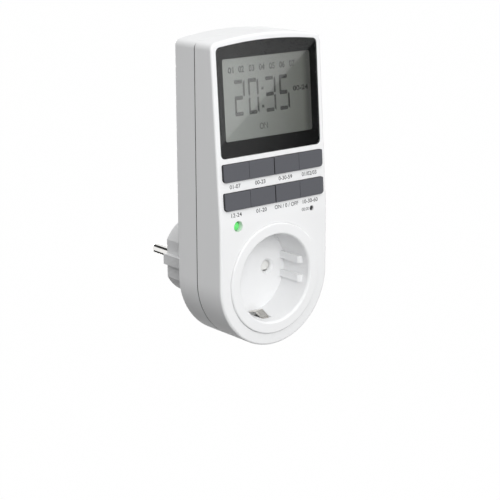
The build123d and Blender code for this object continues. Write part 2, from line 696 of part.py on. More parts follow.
with BuildPart() as front_pillars:
    with BuildSketch(Plane.XZ.offset(TONGUE_END_DEPTH)):
        with Locations(*CASE_SCREW_PLACES):
            Circle(CASE_PILLAR_DIAMETER / 2)
        add(housing_outline(WALL + TONGUE_CLEARANCE), mode=Mode.INTERSECT)
    extrude(amount=FRONT_BACK_DEPTH - TONGUE_END_DEPTH)
    with BuildSketch(Plane.XZ.offset(FRONT_BACK_DEPTH)):
        with Locations(*CASE_SCREW_PLACES):
            Circle(CASE_PILLAR_DIAMETER / 2)
    extrude(amount=FRONT_DEPTH - FRONT_BACK_DEPTH)
    add(leaning_block(WALL / 2, TONGUE_END_DEPTH, FRONT_DEPTH - FACE_WALL / 2), mode=Mode.INTERSECT)

with BuildPart() as front_shell:
    add(leaning_block(0, FRONT_BACK_DEPTH, FRONT_DEPTH))
    fillet(front_rim(front_shell.part), EDGE_RADIUS)

    # Hollow, with a tongue that reaches back inside the rear shell behind the shadow gap.
    add(leaning_block(WALL, FRONT_BACK_DEPTH - OVERSHOOT, FACE_INNER_DEPTH), mode=Mode.SUBTRACT)
    with BuildSketch(Plane.XZ.offset(TONGUE_END_DEPTH)):
        add(housing_outline(WALL + TONGUE_CLEARANCE))
        add(housing_outline(WALL + TONGUE_CLEARANCE + TONGUE_WALL), mode=Mode.SUBTRACT)
    extrude(amount=TONGUE_DEPTH + SEAM_GAP)
    with BuildSketch(Plane.XZ.offset(FRONT_BACK_DEPTH)):
        add(housing_outline(WALL - TONGUE_WALL))
        add(housing_outline(WALL + TONGUE_CLEARANCE + TONGUE_WALL), mode=Mode.SUBTRACT)
    extrude(amount=TONGUE_WALL)

    # Seat of the socket cup.
    with BuildSketch(Plane.XZ.offset(FACE_INNER_DEPTH - OVERSHOOT)):
        Circle(CUP_RADIUS + CUP_FIT)
    extrude(amount=FACE_WALL + 2 * OVERSHOOT, mode=Mode.SUBTRACT)
    with BuildSketch(Plane.XZ.offset(RIM_DEPTH - RIM_THICKNESS)):
        Circle(RIM_DIAMETER / 2 + CUP_FIT / 2)
    extrude(amount=RIM_THICKNESS + OVERSHOOT, mode=Mode.SUBTRACT)

    # Pocket of the lens and its bezel, and the opening that the glass comes through.
    with BuildSketch(face_plane(LENS_THICKNESS + BEZEL_THICKNESS)):
        add(lens_outline(LENS_FIT))
    extrude(amount=LENS_THICKNESS + BEZEL_THICKNESS + OVERSHOOT, mode=Mode.SUBTRACT)
    with BuildSketch(face_plane(FACE_WALL + OVERSHOOT)):
        add(glass_outline(GLASS_OPENING_FIT))
    extrude(amount=FACE_WALL + OVERSHOOT, mode=Mode.SUBTRACT)

    # Openings of the two rows of keys, the lamp and the reset rod.
    with BuildSketch(face_plane(FACE_WALL + OVERSHOOT)):
        for row in (0, 1):
            add(row_outline(row, KEY_FIT))
        with Locations((LAMP_X, LAMP_UP)):
            Circle(LAMP_HOLE_DIAMETER / 2)
        with Locations((RESET_X, RESET_UP)):
            Circle(RESET_HOLE_DIAMETER / 2)
    extrude(amount=FACE_WALL + 2 * OVERSHOOT, mode=Mode.SUBTRACT)

    # Pillars for the case screws, posts for the control board, and the hooks at the top.
    add(front_pillars.part)
    with BuildSketch(Plane.XZ.offset(TONGUE_END_DEPTH)):
        with Locations(*CASE_SCREW_PLACES):
            Circle(CASE_SCREW_DIAMETER / 2)
    extrude(amount=CASE_PILOT_END - TONGUE_END_DEPTH, mode=Mode.SUBTRACT)
    with BuildSketch(face_plane(CONTROL_BOARD_LEVEL)):
        with Locations(*CONTROL_SCREW_PLACES):
            Circle(SMALL_POST_DIAMETER / 2)
    extrude(amount=CONTROL_BOARD_LEVEL - FACE_WALL + POCKET_FLOOR / 2)
    with BuildSketch(face_plane(CONTROL_BOARD_LEVEL)):
        with Locations(*CONTROL_SCREW_PLACES):
            Circle(SMALL_SCREW_DIAMETER / 2)
    extrude(amount=SMALL_SCREW_LENGTH - BOARD_THICKNESS, mode=Mode.SUBTRACT)
    hook_end = SEAM_DEPTH - HOOK_REACH
    hook_root = FRONT_BACK_DEPTH + HOOK_ROOT
    hook_under = HOOK_TOP - HOOK_THICKNESS
    for x in (-HOOK_X, HOOK_X):
        with BuildSketch(side_plane(x)):
            with BuildLine():
                Polyline(
                    (hook_end, hook_under),
                    (hook_root, hook_under),
                    (hook_root, CROWN_HEIGHT - WALL),
                    (FRONT_BACK_DEPTH, CROWN_HEIGHT - WALL),
                    (FRONT_BACK_DEPTH, HOOK_TOP),
                    (hook_end + HOOK_BUMP_LENGTH, HOOK_TOP),
                    (hook_end + HOOK_BUMP_LENGTH, HOOK_TOP + HOOK_BUMP),
                    (hook_end, HOOK_TOP),
                    close=True,
                )
            make_face()
        extrude(amount=HOOK_WIDTH / 2, both=True)

front_shell.part.label = "front_shell"
export_step(front_shell.part, "parts/front_shell.step")

# ---------------------------------------------------------------- socket cup

with BuildPart() as socket_cup:
    seat_depth = RIM_DEPTH - RIM_THICKNESS
    mouth_end = RIM_DEPTH - (MOUTH_DIAMETER - RECESS_DIAMETER)
    with BuildSketch(SIDE):
        with BuildLine():
            Polyline(
                (CUP_BACK_DEPTH, 0),
                (CUP_BACK_DEPTH, CUP_RADIUS),
                (seat_depth, CUP_RADIUS),
                (seat_depth, RIM_DIAMETER / 2),
                (RIM_DEPTH, RIM_DIAMETER / 2),
                (RIM_DEPTH, MOUTH_DIAMETER / 2),
                (mouth_end, RECESS_DIAMETER / 2),
                (FLOOR_DEPTH, RECESS_DIAMETER / 2),
                (FLOOR_DEPTH, 0),
                close=True,
            )
        make_face()
    revolve(axis=Axis.Y)
    fillet(circles_at(socket_cup.part, RIM_DIAMETER / 2, RIM_DEPTH), RIM_EDGE_RADIUS)
    chamfer(circles_at(socket_cup.part, MOUTH_DIAMETER / 2, RIM_DEPTH), MOUTH_EDGE)

    # Two guide ribs on each side leave a slot for the plug's key rib.
    guide_depth = RIM_DEPTH - GUIDE_SETBACK
    guide_x = (GUIDE_SPAN + RECESS_DIAMETER + CUP_WALL) / 4
    guide_height = (GUIDE_SLOT + GUIDE_WIDTH) / 2
    with BuildSketch(Plane.XZ.offset(FLOOR_DEPTH - CUP_FLOOR / 2)):
        with GridLocations(2 * guide_x, 2 * guide_height, 2, 2):
            Rectangle((RECESS_DIAMETER + CUP_WALL - GUIDE_SPAN) / 2, GUIDE_WIDTH)
        Circle((RECESS_DIAMETER + CUP_WALL) / 2, mode=Mode.INTERSECT)
    extrude(amount=guide_depth - FLOOR_DEPTH + CUP_FLOOR / 2)
    level_faces = socket_cup.faces().filter_by(Axis.Y)
    guide_tops = level_faces.filter_by(lambda face: abs(face.center().Y + guide_depth) < SAME_PLACE)
    chamfer(guide_tops.edges().filter_by(Axis.Z), GUIDE_LEAD)

    # Pin holes, flared towards the plug.
    with BuildSketch(Plane.XZ.offset(CUP_BACK_DEPTH)):
        with Locations((-PIN_X, 0), (PIN_X, 0)):
            Circle(PIN_HOLE_DIAMETER / 2)
    extrude(amount=CUP_FLOOR, mode=Mode.SUBTRACT)
    chamfer(circles_at(socket_cup.part, PIN_HOLE_DIAMETER / 2, FLOOR_DEPTH), PIN_HOLE_FLARE)

    # Slots that the earth springs reach in through.
    with BuildSketch(Plane.XY.offset(-CUP_RADIUS - OVERSHOOT)):
        slot_length = EARTH_TURN_DEPTH - EARTH_SPRING_END + 2 * EARTH_SLOT_SPARE
        with Locations((0, -(EARTH_TURN_DEPTH + EARTH_SPRING_END) / 2)):
            Rectangle(EARTH_WIDTH + 2 * EARTH_SLOT_CLEARANCE, slot_length)
    extrude(amount=2 * (CUP_RADIUS + OVERSHOOT), mode=Mode.SUBTRACT)

    # Snap lugs behind the face, pillars for the carrier, the shutter's pivot, stops and spring peg.
    lug_end = FACE_INNER_DEPTH - LUG_GAP
    with BuildSketch(Plane.XZ.offset(lug_end - LUG_LENGTH)):
        with PolarLocations(CUP_RADIUS, 4, start_angle=LUG_ANGLE):
            Rectangle(2 * LUG_RISE, LUG_WIDTH)
    extrude(amount=LUG_LENGTH)
    with BuildSketch(Plane.XZ.offset(CARRIER_FRONT_DEPTH)):
        with Locations(*CARRIER_SCREW_PLACES):
            Circle(FLOOR_PILLAR_DIAMETER / 2)
        Circle(PIVOT_DIAMETER / 2)
        with Locations(*STOP_PEG_PLACES):
            Circle(STOP_PEG_DIAMETER / 2)
        with Locations(*SPRING_PEG_PLACES):
            Circle(SPRING_PEG_DIAMETER / 2)
    extrude(amount=CUP_BACK_DEPTH - CARRIER_FRONT_DEPTH)
    with BuildSketch(Plane.XZ.offset(CARRIER_FRONT_DEPTH)):
        with Locations(*CARRIER_SCREW_PLACES):
            Circle(SMALL_SCREW_DIAMETER / 2)
    extrude(amount=CARRIER_PILOT, mode=Mode.SUBTRACT)

socket_cup.part.label = "socket_cup"
export_step(socket_cup.part, "parts/socket_cup.step")

# ---------------------------------------------------------------- shutter and its spring

with BuildPart() as shutter:
    with BuildSketch(Plane.XZ.offset(SHUTTER_BACK_DEPTH)):
        Rectangle(SHUTTER_SPAN, SHUTTER_WIDTH)
        Circle(SHUTTER_SPAN / 2, mode=Mode.INTERSECT)
        Circle(SHUTTER_HUB_DIAMETER / 2)
        Circle(PIVOT_DIAMETER / 2 + PIVOT_CLEARANCE, mode=Mode.SUBTRACT)
    extrude(amount=SHUTTER_THICKNESS)
    ramp_edges = shutter.edges().filter_by(Axis.X).group_by(Axis.Y)[0]
    chamfer(ramp_edges, SHUTTER_RAMP)

shutter.part.label = "shutter"
export_step(shutter.part, "parts/shutter.step")

with BuildPart() as shutter_spring:
    leaf_depth = (SHUTTER_FRONT_DEPTH + SHUTTER_BACK_DEPTH - SPRING_LEAF_WIDTH) / 2
    with BuildSketch(Plane.XZ.offset(leaf_depth)):
        with BuildLine():
            leaf_end = (SPRING_LEAF_END, SHUTTER_WIDTH / 2 + STOP_PEG_GAP + SPRING_LEAF_THICKNESS / 2)
            FilletPolyline(
                (SPRING_LEAF_START, SPRING_LEAF_HEIGHT),
                (SPRING_LEAF_BEND, SPRING_LEAF_HEIGHT),
                leaf_end,
                radius=SPRING_LEAF_RADIUS,
            )
        trace(line_width=SPRING_LEAF_THICKNESS)
    extrude(amount=SPRING_LEAF_WIDTH)

shutter_spring.part.label = "shutter_spring"
export_step(shutter_spring.part, "parts/shutter_spring.step")

# ---------------------------------------------------------------- contact carrier

with BuildPart() as contact_carrier:
    with BuildSketch(Plane.XZ.offset(CARRIER_BACK_DEPTH)):
        Circle(CARRIER_DIAMETER / 2)
    extrude(amount=CARRIER_THICKNESS)
    with BuildSketch(Plane.XZ.offset(CHIMNEY_DEPTH)):
        with Locations((-PIN_X, 0), (PIN_X, 0)):
            Rectangle(CHIMNEY_INNER_WIDTH + 2 * CHIMNEY_WALL, CHIMNEY_INNER_HEIGHT + 2 * CHIMNEY_WALL)
    extrude(amount=CARRIER_BACK_DEPTH - CHIMNEY_DEPTH)
    with BuildSketch(Plane.XZ.offset(CHIMNEY_DEPTH)):
        with Locations((-PIN_X, 0), (PIN_X, 0)):
            Rectangle(CHIMNEY_INNER_WIDTH, CHIMNEY_INNER_HEIGHT)
    extrude(amount=CARRIER_FRONT_DEPTH - CHIMNEY_DEPTH, mode=Mode.SUBTRACT)
    with BuildSketch(Plane.XZ.offset(CARRIER_BACK_DEPTH)):
        with Locations(*CARRIER_SCREW_PLACES):
            Circle(SMALL_SCREW_DIAMETER / 2 + SMALL_SCREW_FIT)
    extrude(amount=CARRIER_THICKNESS, mode=Mode.SUBTRACT)
    with BuildSketch(Plane.XZ.offset(CARRIER_BACK_DEPTH)):
        with Locations(*CARRIER_SCREW_PLACES):
            Circle(SMALL_SCREW_HEAD / 2 + SMALL_SCREW_FIT)
    extrude(amount=CARRIER_SCREW_SINK, mode=Mode.SUBTRACT)

contact_carrier.part.label = "contact_carrier"
export_step(contact_carrier.part, "parts/contact_carrier.step")

# ---------------------------------------------------------------- pins, contacts and straps


def plug_pin(x):
    """Round plug pin with a collar behind the boss's face and a stub inside."""
    with BuildPart() as pin:
        with BuildSketch(Plane.XZ):
            with Locations((x, 0)):
                Circle(PIN_DIAMETER / 2)
        extrude(amount=-PIN_LENGTH)
        fillet(pin.edges().sort_by(Axis.Y)[-1], PIN_TIP_RADIUS)
        with BuildSketch(Plane.XZ):
            with Locations((x, 0)):
                Circle(PIN_ROOT_DIAMETER / 2)
        extrude(amount=BOSS_FACE_WALL)
        with BuildSketch(Plane.XZ.offset(BOSS_FACE_WALL)):
            with Locations((x, 0)):
                Circle(PIN_COLLAR_DIAMETER / 2)
        extrude(amount=PIN_COLLAR_THICKNESS)
        with BuildSketch(Plane.XZ.offset(BOSS_FACE_WALL)):
            with Locations((x, 0)):
                Circle(PIN_STUB_DIAMETER / 2)
        extrude(amount=PIN_STUB_DEPTH - BOSS_FACE_WALL)
    return pin.part


def spring_contact(x):
    """Spring contact folded from strip: two leaves that grip a pin, with flared lips."""
    lip = CARRIER_FRONT_DEPTH - CONTACT_FIT
    grip = PIN_DIAMETER / 2 + CONTACT_THICKNESS / 2
    knee = CONTACT_BASE_DEPTH + 2 * CONTACT_THICKNESS
    upper = [
        (lip, CONTACT_SPREAD),
        (lip - CONTACT_LIP, grip),
        (knee, CONTACT_SPREAD),
        (CONTACT_BASE_DEPTH, CONTACT_SPREAD),
    ]
    lower = [(depth, -height) for depth, height in reversed(upper)]
    return bent_strip(upper + lower, CONTACT_THICKNESS, CONTACT_WIDTH, x, CONTACT_THICKNESS)


def side_strap(side):
    """Strap from a spring contact's base round to the power board, beside the chimney."""
    x = side * (PIN_X + CONTACT_WIDTH / 2 + STRAP_WIDTH / 2)
    points = [
        (CONTACT_BASE_DEPTH, -CONTACT_SPREAD),
        (CONTACT_BASE_DEPTH, STRAP_HEIGHT),
        (STRAP_RISE_DEPTH, STRAP_HEIGHT),
        (STRAP_RISE_DEPTH, STRAP_LANDING),
        (POWER_BOARD_DEPTH, STRAP_LANDING),
    ]
    return bent_strip(points, STRAP_THICKNESS, STRAP_WIDTH, x, STRAP_BEND)


line_strap_points = [
    (PIN_STRAP_DEPTH, -PIN_STUB_DIAMETER / 2),
    (PIN_STRAP_DEPTH, PIN_STRAP_HEIGHT),
    (STRAP_RISE_DEPTH, PIN_STRAP_HEIGHT),
    (STRAP_RISE_DEPTH, STRAP_LANDING),
    (POWER_BOARD_DEPTH, STRAP_LANDING),
]
bridge_end = CONTACT_BASE_DEPTH - CONTACT_THICKNESS / 2 - STRAP_THICKNESS / 2
neutral_strap_points = [
    (PIN_STRAP_DEPTH, -PIN_STUB_DIAMETER / 2),
    (PIN_STRAP_DEPTH, PIN_STUB_DIAMETER / 2),
    (bridge_end, PIN_STUB_DIAMETER / 2),
    (bridge_end, -PIN_STUB_DIAMETER / 2),
]
metal_parts = {
    "line_pin": plug_pin(-PIN_X),
    "neutral_pin": plug_pin(PIN_X),
    "line_contact": spring_contact(-PIN_X),
    "neutral_contact": spring_contact(PIN_X),
    "line_strap": bent_strip(line_strap_points, STRAP_THICKNESS, PIN_STRAP_WIDTH, -PIN_X, STRAP_BEND),
    "neutral_strap": bent_strip(neutral_strap_points, STRAP_THICKNESS, PIN_STRAP_WIDTH, PIN_X, STRAP_BEND),
    "load_strap": side_strap(-1),
    "return_strap": side_strap(1),
}
for name, metal in metal_parts.items():
    metal.label = name
    export_step(metal, f"parts/{name}.step")

with BuildPart() as earth_frame:
    with BuildSketch(SIDE):
        with BuildLine():
            FilletPolyline(
                (EARTH_BAR_DEPTH, 0),
                (EARTH_BAR_DEPTH, EARTH_ARM_HEIGHT),
                (EARTH_TURN_DEPTH, EARTH_ARM_HEIGHT),
                (EARTH_TURN_DEPTH - EARTH_THICKNESS, RECESS_DIAMETER / 2),
                (EARTH_BOW_DEPTH, EARTH_CONTACT_REACH),
                (EARTH_SPRING_END, EARTH_SPRING_BACK),
                radius=EARTH_BEND,
            )
        trace(line_width=EARTH_THICKNESS)
        with BuildLine():
            Line((EARTH_PLUG_END, EARTH_PLUG_HEIGHT), (EARTH_BAR_DEPTH, EARTH_PLUG_HEIGHT))
        trace(line_width=EARTH_THICKNESS)
    extrude(amount=EARTH_WIDTH / 2, both=True)
    mirror(about=Plane.XY)

earth_frame.part.label = "earth_frame"
export_step(earth_frame.part, "parts/earth_frame.step")

# ---------------------------------------------------------------- display

with BuildPart() as display_lens:
    with BuildSketch(face_plane(LENS_THICKNESS)):
        add(lens_outline(0))
    extrude(amount=LENS_THICKNESS)
    fillet(display_lens.faces().sort_by(FACE_AXIS)[-1].edges(), LENS_EDGE)

display_lens.part.label = "display_lens"
export_step(display_lens.part, "parts/display_lens.step")

with BuildPart() as display_bezel:
    with BuildSketch(face_plane(LENS_THICKNESS + BEZEL_THICKNESS)):
        add(lens_outline(0))
        with Locations((0, GLASS_MIDDLE)):
            RectangleRounded(
                WINDOW_WIDTH - 2 * BEZEL_BEVEL,
                WINDOW_END - WINDOW_START - 2 * BEZEL_BEVEL,
                WINDOW_CORNER - BEZEL_BEVEL,
                mode=Mode.SUBTRACT,
            )
    extrude(amount=BEZEL_THICKNESS)
    bezel_front = display_bezel.faces().sort_by(FACE_AXIS)[-1]
    chamfer(bezel_front.inner_wires()[0].edges(), BEZEL_BEVEL)

display_bezel.part.label = "display_bezel"
export_step(display_bezel.part, "parts/display_bezel.step")

with BuildPart() as display_glass:
    with BuildSketch(face_plane(GLASS_BACK_LEVEL)):
        add(glass_outline(0))
    extrude(amount=GLASS_THICKNESS)
    with BuildSketch(face_plane(GLASS_BACK_LEVEL)):
        with Locations((0, GLASS_STEP_MIDDLE)):
            Rectangle(GLASS_WIDTH, GLASS_STEP)
    extrude(amount=GLASS_THICKNESS - GLASS_FRONT_THICKNESS, mode=Mode.SUBTRACT)

display_glass.part.label = "display_glass"
export_step(display_glass.part, "parts/display_glass.step")

with BuildPart() as display_frame:
    with BuildSketch(face_plane(CONTROL_BOARD_LEVEL)):
        add(glass_outline(GLASS_FIT + FRAME_WALL))
        add(glass_outline(GLASS_FIT), mode=Mode.SUBTRACT)
    extrude(amount=CONTROL_BOARD_LEVEL - FACE_WALL - GLASS_FIT)
    with BuildSketch(face_plane(GLASS_BACK_LEVEL + GLASS_FIT + FRAME_LEDGE_THICKNESS)):
        ledge_x = GLASS_WIDTH / 2 + GLASS_FIT - FRAME_LEDGE / 2
        with Locations((-ledge_x, GLASS_MIDDLE), (ledge_x, GLASS_MIDDLE)):
            Rectangle(FRAME_LEDGE, GLASS_HEIGHT + 2 * GLASS_FIT)
    extrude(amount=FRAME_LEDGE_THICKNESS)

display_frame.part.label = "display_frame"
export_step(display_frame.part, "parts/display_frame.step")

with BuildPart() as contact_strip:
    with BuildSketch(face_plane(CONTROL_BOARD_LEVEL)):
        with Locations((0, GLASS_STEP_MIDDLE)):
            Rectangle(WINDOW_WIDTH - 2 * FRAME_LEDGE, STRIP_HEIGHT)
    extrude(amount=CONTROL_BOARD_LEVEL - GLASS_LEVEL - GLASS_FRONT_THICKNESS)

contact_strip.part.label = "contact_strip"
export_step(contact_strip.part, "parts/contact_strip.step")

# ---------------------------------------------------------------- keys, mat and reset rod


def key_cap(row, column):
    """Key: a cap through the face, a flange that keeps it in, and a stem over its dome."""
    with BuildPart() as key:
        with BuildSketch(face_plane(FACE_WALL + FLANGE_GAP)):
            with Locations((key_centre_x(column), row_centre(row))):
                Rectangle(KEY_WIDTH, KEY_HEIGHT)
            add(row_outline(row, 0), mode=Mode.INTERSECT)
        extrude(amount=FACE_WALL + FLANGE_GAP + KEY_RISE)
        fillet(key.faces().sort_by(FACE_AXIS)[-1].edges(), KEY_EDGE)
        with BuildSketch(face_plane(FACE_WALL + FLANGE_GAP + FLANGE_THICKNESS)):
            with Locations((key_centre_x(column), row_centre(row))):
                Rectangle(KEY_WIDTH, KEY_HEIGHT + 2 * (KEY_FIT + FLANGE_REACH))
        extrude(amount=FLANGE_THICKNESS)
        with BuildSketch(face_plane(DOME_LEVEL - DOME_GAP)):
            with Locations((key_centre_x(column), row_centre(row))):
                Circle(STEM_DIAMETER / 2)
        extrude(amount=DOME_LEVEL - DOME_GAP - FACE_WALL - FLANGE_GAP)
    return key.part


for row, row_name in ((1, "upper"), (0, "lower")):
    for column in range(4):
        key = key_cap(row, column)
        key.label = f"key_{row_name}_{column + 1}"
        export_step(key, f"parts/{key.label}.step")

with BuildPart() as reset_rod:
    with BuildSketch(face_plane(DOME_LEVEL - DOME_GAP)):
        with Locations((RESET_X, RESET_UP)):
            Circle(RESET_ROD_DIAMETER / 2)
    extrude(amount=DOME_LEVEL - DOME_GAP - RESET_RECESS)
    with BuildSketch(face_plane(FACE_WALL + FLANGE_GAP + FLANGE_THICKNESS)):
        with Locations((RESET_X, RESET_UP)):
            Circle(RESET_HOLE_DIAMETER / 2 + FLANGE_REACH)
    extrude(amount=FLANGE_THICKNESS)

reset_rod.part.label = "reset_rod"
export_step(reset_rod.part, "parts/reset_rod.step")

with BuildPart() as key_mat:
    mat_start = LOW_ROW_START - KEY_FIT
    mat_end = row_start(1) + KEY_HEIGHT
    with BuildSketch(face_plane(CONTROL_BOARD_LEVEL)):
        with Locations((0, (mat_start + mat_end) / 2)):
            Rectangle(KEY_BLOCK_WIDTH - 2 * MAT_INSET, mat_end - mat_start)
        with Locations((RESET_X, (RESET_UP + mat_start) / 2)):
            Rectangle(DOME_BASE_DIAMETER + 2 * DOME_MARGIN, mat_start - RESET_UP)
        with Locations((RESET_X, RESET_UP)):
            Circle(DOME_BASE_DIAMETER / 2 + DOME_MARGIN)
    extrude(amount=MAT_THICKNESS)
    dome_taper = degrees(atan2((DOME_BASE_DIAMETER - DOME_TOP_DIAMETER) / 2, DOME_HEIGHT))
    with BuildSketch(face_plane(MAT_LEVEL)):
        with Locations(*DOME_PLACES):
            Circle(DOME_BASE_DIAMETER / 2)
    extrude(amount=DOME_HEIGHT, taper=dome_taper)
    with BuildSketch(face_plane(CONTROL_BOARD_LEVEL)):
        with Locations(*DOME_PLACES):
            Circle(DOME_TOP_DIAMETER / 2 - DOME_WALL)
    extrude(amount=MAT_THICKNESS + DOME_HEIGHT - DOME_ROOF, mode=Mode.SUBTRACT)

key_mat.part.label = "key_mat"
export_step(key_mat.part, "parts/key_mat.step")

# ---------------------------------------------------------------- control board and its parts

with BuildPart() as control_board:
    with BuildSketch(face_plane(CONTROL_BOARD_BACK)):
        with Locations((0, (CONTROL_BOARD_START + CONTROL_BOARD_END) / 2)):
            Rectangle(CONTROL_BOARD_WIDTH, CONTROL_BOARD_END - CONTROL_BOARD_START)
        with Locations(*CONTROL_SCREW_PLACES):
            Circle(SMALL_SCREW_DIAMETER / 2 + SMALL_SCREW_FIT, mode=Mode.SUBTRACT)
    extrude(amount=BOARD_THICKNESS)

control_board.part.label = "control_board"
export_step(control_board.part, "parts/control_board.step")

with BuildPart() as microcontroller:
    with BuildSketch(face_plane(CONTROL_BOARD_BACK)):
        with Locations((MICRO_X, MICRO_UP)):
            Rectangle(MICRO_SIZE, MICRO_SIZE)
    extrude(amount=-MICRO_THICKNESS)
    chamfer(microcontroller.edges().group_by(FACE_AXIS)[0], MICRO_EDGE)

microcontroller.part.label = "microcontroller"
export_step(microcontroller.part, "parts/microcontroller.step")

with BuildPart() as clock_crystal:
    with BuildSketch(face_plane(CONTROL_BOARD_BACK)):
        with Locations((CRYSTAL_X, MICRO_UP)):
            SlotOverall(CRYSTAL_LENGTH, CRYSTAL_WIDTH, rotation=90)
    extrude(amount=-CRYSTAL_WIDTH)

clock_crystal.part.label = "clock_crystal"
export_step(clock_crystal.part, "parts/clock_crystal.step")

with BuildPart() as status_lamp:
    with BuildSketch(face_plane(CONTROL_BOARD_LEVEL)):
        with Locations((LAMP_X, LAMP_UP)):
            Circle(LAMP_DIAMETER / 2 + LAMP_FLANGE)
    extrude(amount=LAMP_FLANGE_THICKNESS)
    with BuildSketch(face_plane(CONTROL_BOARD_LEVEL)):
        with Locations((LAMP_X, LAMP_UP)):
            Circle(LAMP_DIAMETER / 2)
    extrude(amount=CONTROL_BOARD_LEVEL - LAMP_RECESS)
    fillet(status_lamp.edges().sort_by(FACE_AXIS)[-1], LAMP_CROWN_RADIUS)

status_lamp.part.label = "status_lamp"
export_step(status_lamp.part, "parts/status_lamp.step")

# ---------------------------------------------------------------- power board and its parts

with BuildPart() as power_board:
    with BuildSketch(Plane.XZ.offset(POWER_BOARD_DEPTH)):
        with Locations((0, (POWER_BOARD_BOTTOM + POWER_BOARD_TOP) / 2)):
            Rectangle(POWER_BOARD_WIDTH, POWER_BOARD_TOP - POWER_BOARD_BOTTOM)
        with Locations(*POWER_SCREW_PLACES):
            Circle(SMALL_SCREW_DIAMETER / 2 + SMALL_SCREW_FIT, mode=Mode.SUBTRACT)
    extrude(amount=BOARD_THICKNESS)

power_board.part.label = "power_board"
export_step(power_board.part, "parts/power_board.step")


def board_block(centre, size, reach, edge):
    """Boxed component standing on the power board, its front edges chamfered."""
    with BuildPart() as block:
        with BuildSketch(Plane.XZ.offset(POWER_BOARD_FRONT)):
            with Locations(centre):
                Rectangle(size[0], size[1])
        extrude(amount=reach)
        chamfer(block.edges().group_by(Axis.Y)[0], edge)
    return block.part


def board_can(centre, diameter, reach, edge):
    """Round component standing on the power board."""
    with BuildPart() as can:
        with BuildSketch(Plane.XZ.offset(POWER_BOARD_FRONT)):
            with Locations(centre):
                Circle(diameter / 2)
        extrude(amount=reach)
        chamfer(can.edges().sort_by(Axis.Y)[0], edge)
    return can.part


def board_roll(centre, diameter, length, edge):
    """Round component lying on the power board along X."""
    with BuildPart() as roll:
        with BuildSketch(side_plane(centre[0])):
            with Locations((POWER_BOARD_FRONT + diameter / 2, centre[1])):
                Circle(diameter / 2)
        extrude(amount=length / 2, both=True)
        chamfer(roll.edges().filter_by(GeomType.CIRCLE), edge)
    return roll.part


board_parts = {
    "relay": board_block(RELAY_CENTRE, RELAY_SIZE, COMPONENT_BAY - RELAY_HEADROOM, RELAY_EDGE),
    "dropper_capacitor": board_block(
        DROPPER_CENTRE, DROPPER_SIZE, COMPONENT_BAY - DROPPER_HEADROOM, DROPPER_EDGE
    ),
    "rectifier": board_block(RECTIFIER_CENTRE, RECTIFIER_SIZE, RECTIFIER_REACH, RECTIFIER_EDGE),
    "reservoir_capacitor": board_can(
        RESERVOIR_CENTRE, RESERVOIR_DIAMETER, COMPONENT_BAY - RESERVOIR_HEADROOM, RESERVOIR_EDGE
    ),
    "fuse_resistor": board_roll(FUSE_CENTRE, FUSE_DIAMETER, FUSE_LENGTH, FUSE_EDGE),
    "varistor": board_roll(VARISTOR_CENTRE, VARISTOR_DIAMETER, VARISTOR_THICKNESS, VARISTOR_EDGE),
}
for name, component in board_parts.items():
    component.label = name
    export_step(component, f"parts/{name}.step")

with BuildPart() as board_link:
    link_reach = face_depth(LINK_CENTRE[1] + LINK_HEIGHT / 2, CONTROL_BOARD_BACK) - POWER_BOARD_FRONT
    with BuildSketch(Plane.XZ.offset(POWER_BOARD_FRONT)):
        with Locations(LINK_CENTRE):
            Rectangle(LINK_WAYS * LINK_PITCH, LINK_HEIGHT)
    extrude(amount=link_reach * LINK_BODY_SHARE)
    with BuildSketch(Plane.XZ.offset(POWER_BOARD_FRONT)):
        with Locations(LINK_CENTRE):
            with GridLocations(LINK_PITCH, LINK_PITCH, LINK_WAYS, 1):
                Rectangle(LINK_PIN, LINK_PIN)
    extrude(amount=link_reach)

board_link.part.label = "board_link"
export_step(board_link.part, "parts/board_link.step")

with BuildPart() as cell_tabs:
    tab_plane = Plane.XZ.offset(POWER_BOARD_FRONT)
    with BuildSketch(tab_plane):
        with Locations(CELL_CENTRE):
            Rectangle(CELL_TAB_WIDTH, CELL_DIAMETER)
    extrude(amount=CELL_TAB_THICKNESS)
    with BuildSketch(side_plane(CELL_CENTRE[0])):
        with BuildLine():
            cell_front = POWER_BOARD_FRONT + CELL_TAB_THICKNESS + CELL_THICKNESS + 2 * CELL_FIT
            tab_front = cell_front + CELL_TAB_THICKNESS / 2
            tab_low = CELL_CENTRE[1] - CELL_DIAMETER / 2 - CELL_TAB_CLEARANCE
            FilletPolyline(
                (POWER_BOARD_FRONT, tab_low),
                (tab_front, tab_low),
                (tab_front, CELL_CENTRE[1] + CELL_TAB_LAP),
                radius=CELL_TAB_THICKNESS,
            )
        trace(line_width=CELL_TAB_THICKNESS)
    extrude(amount=CELL_TAB_WIDTH / 2, both=True)

cell_tabs.part.label = "cell_tabs"
export_step(cell_tabs.part, "parts/cell_tabs.step")

with BuildPart() as backup_cell:
    with BuildSketch(Plane.XZ.offset(POWER_BOARD_FRONT + CELL_TAB_THICKNESS + CELL_FIT)):
        with Locations(CELL_CENTRE):
            Circle(CELL_DIAMETER / 2)
    extrude(amount=CELL_THICKNESS)
    chamfer(backup_cell.edges().filter_by(GeomType.CIRCLE), CELL_EDGE)

backup_cell.part.label = "backup_cell"
export_step(backup_cell.part, "parts/backup_cell.step")

# ---------------------------------------------------------------- screws

case_screw = screw(CASE_SCREW_DIAMETER, CASE_SCREW_HEAD, CASE_SCREW_HEAD_HEIGHT, CASE_SCREW_LENGTH)
small_screw = screw(SMALL_SCREW_DIAMETER, SMALL_SCREW_HEAD, SMALL_SCREW_HEAD_HEIGHT, SMALL_SCREW_LENGTH)

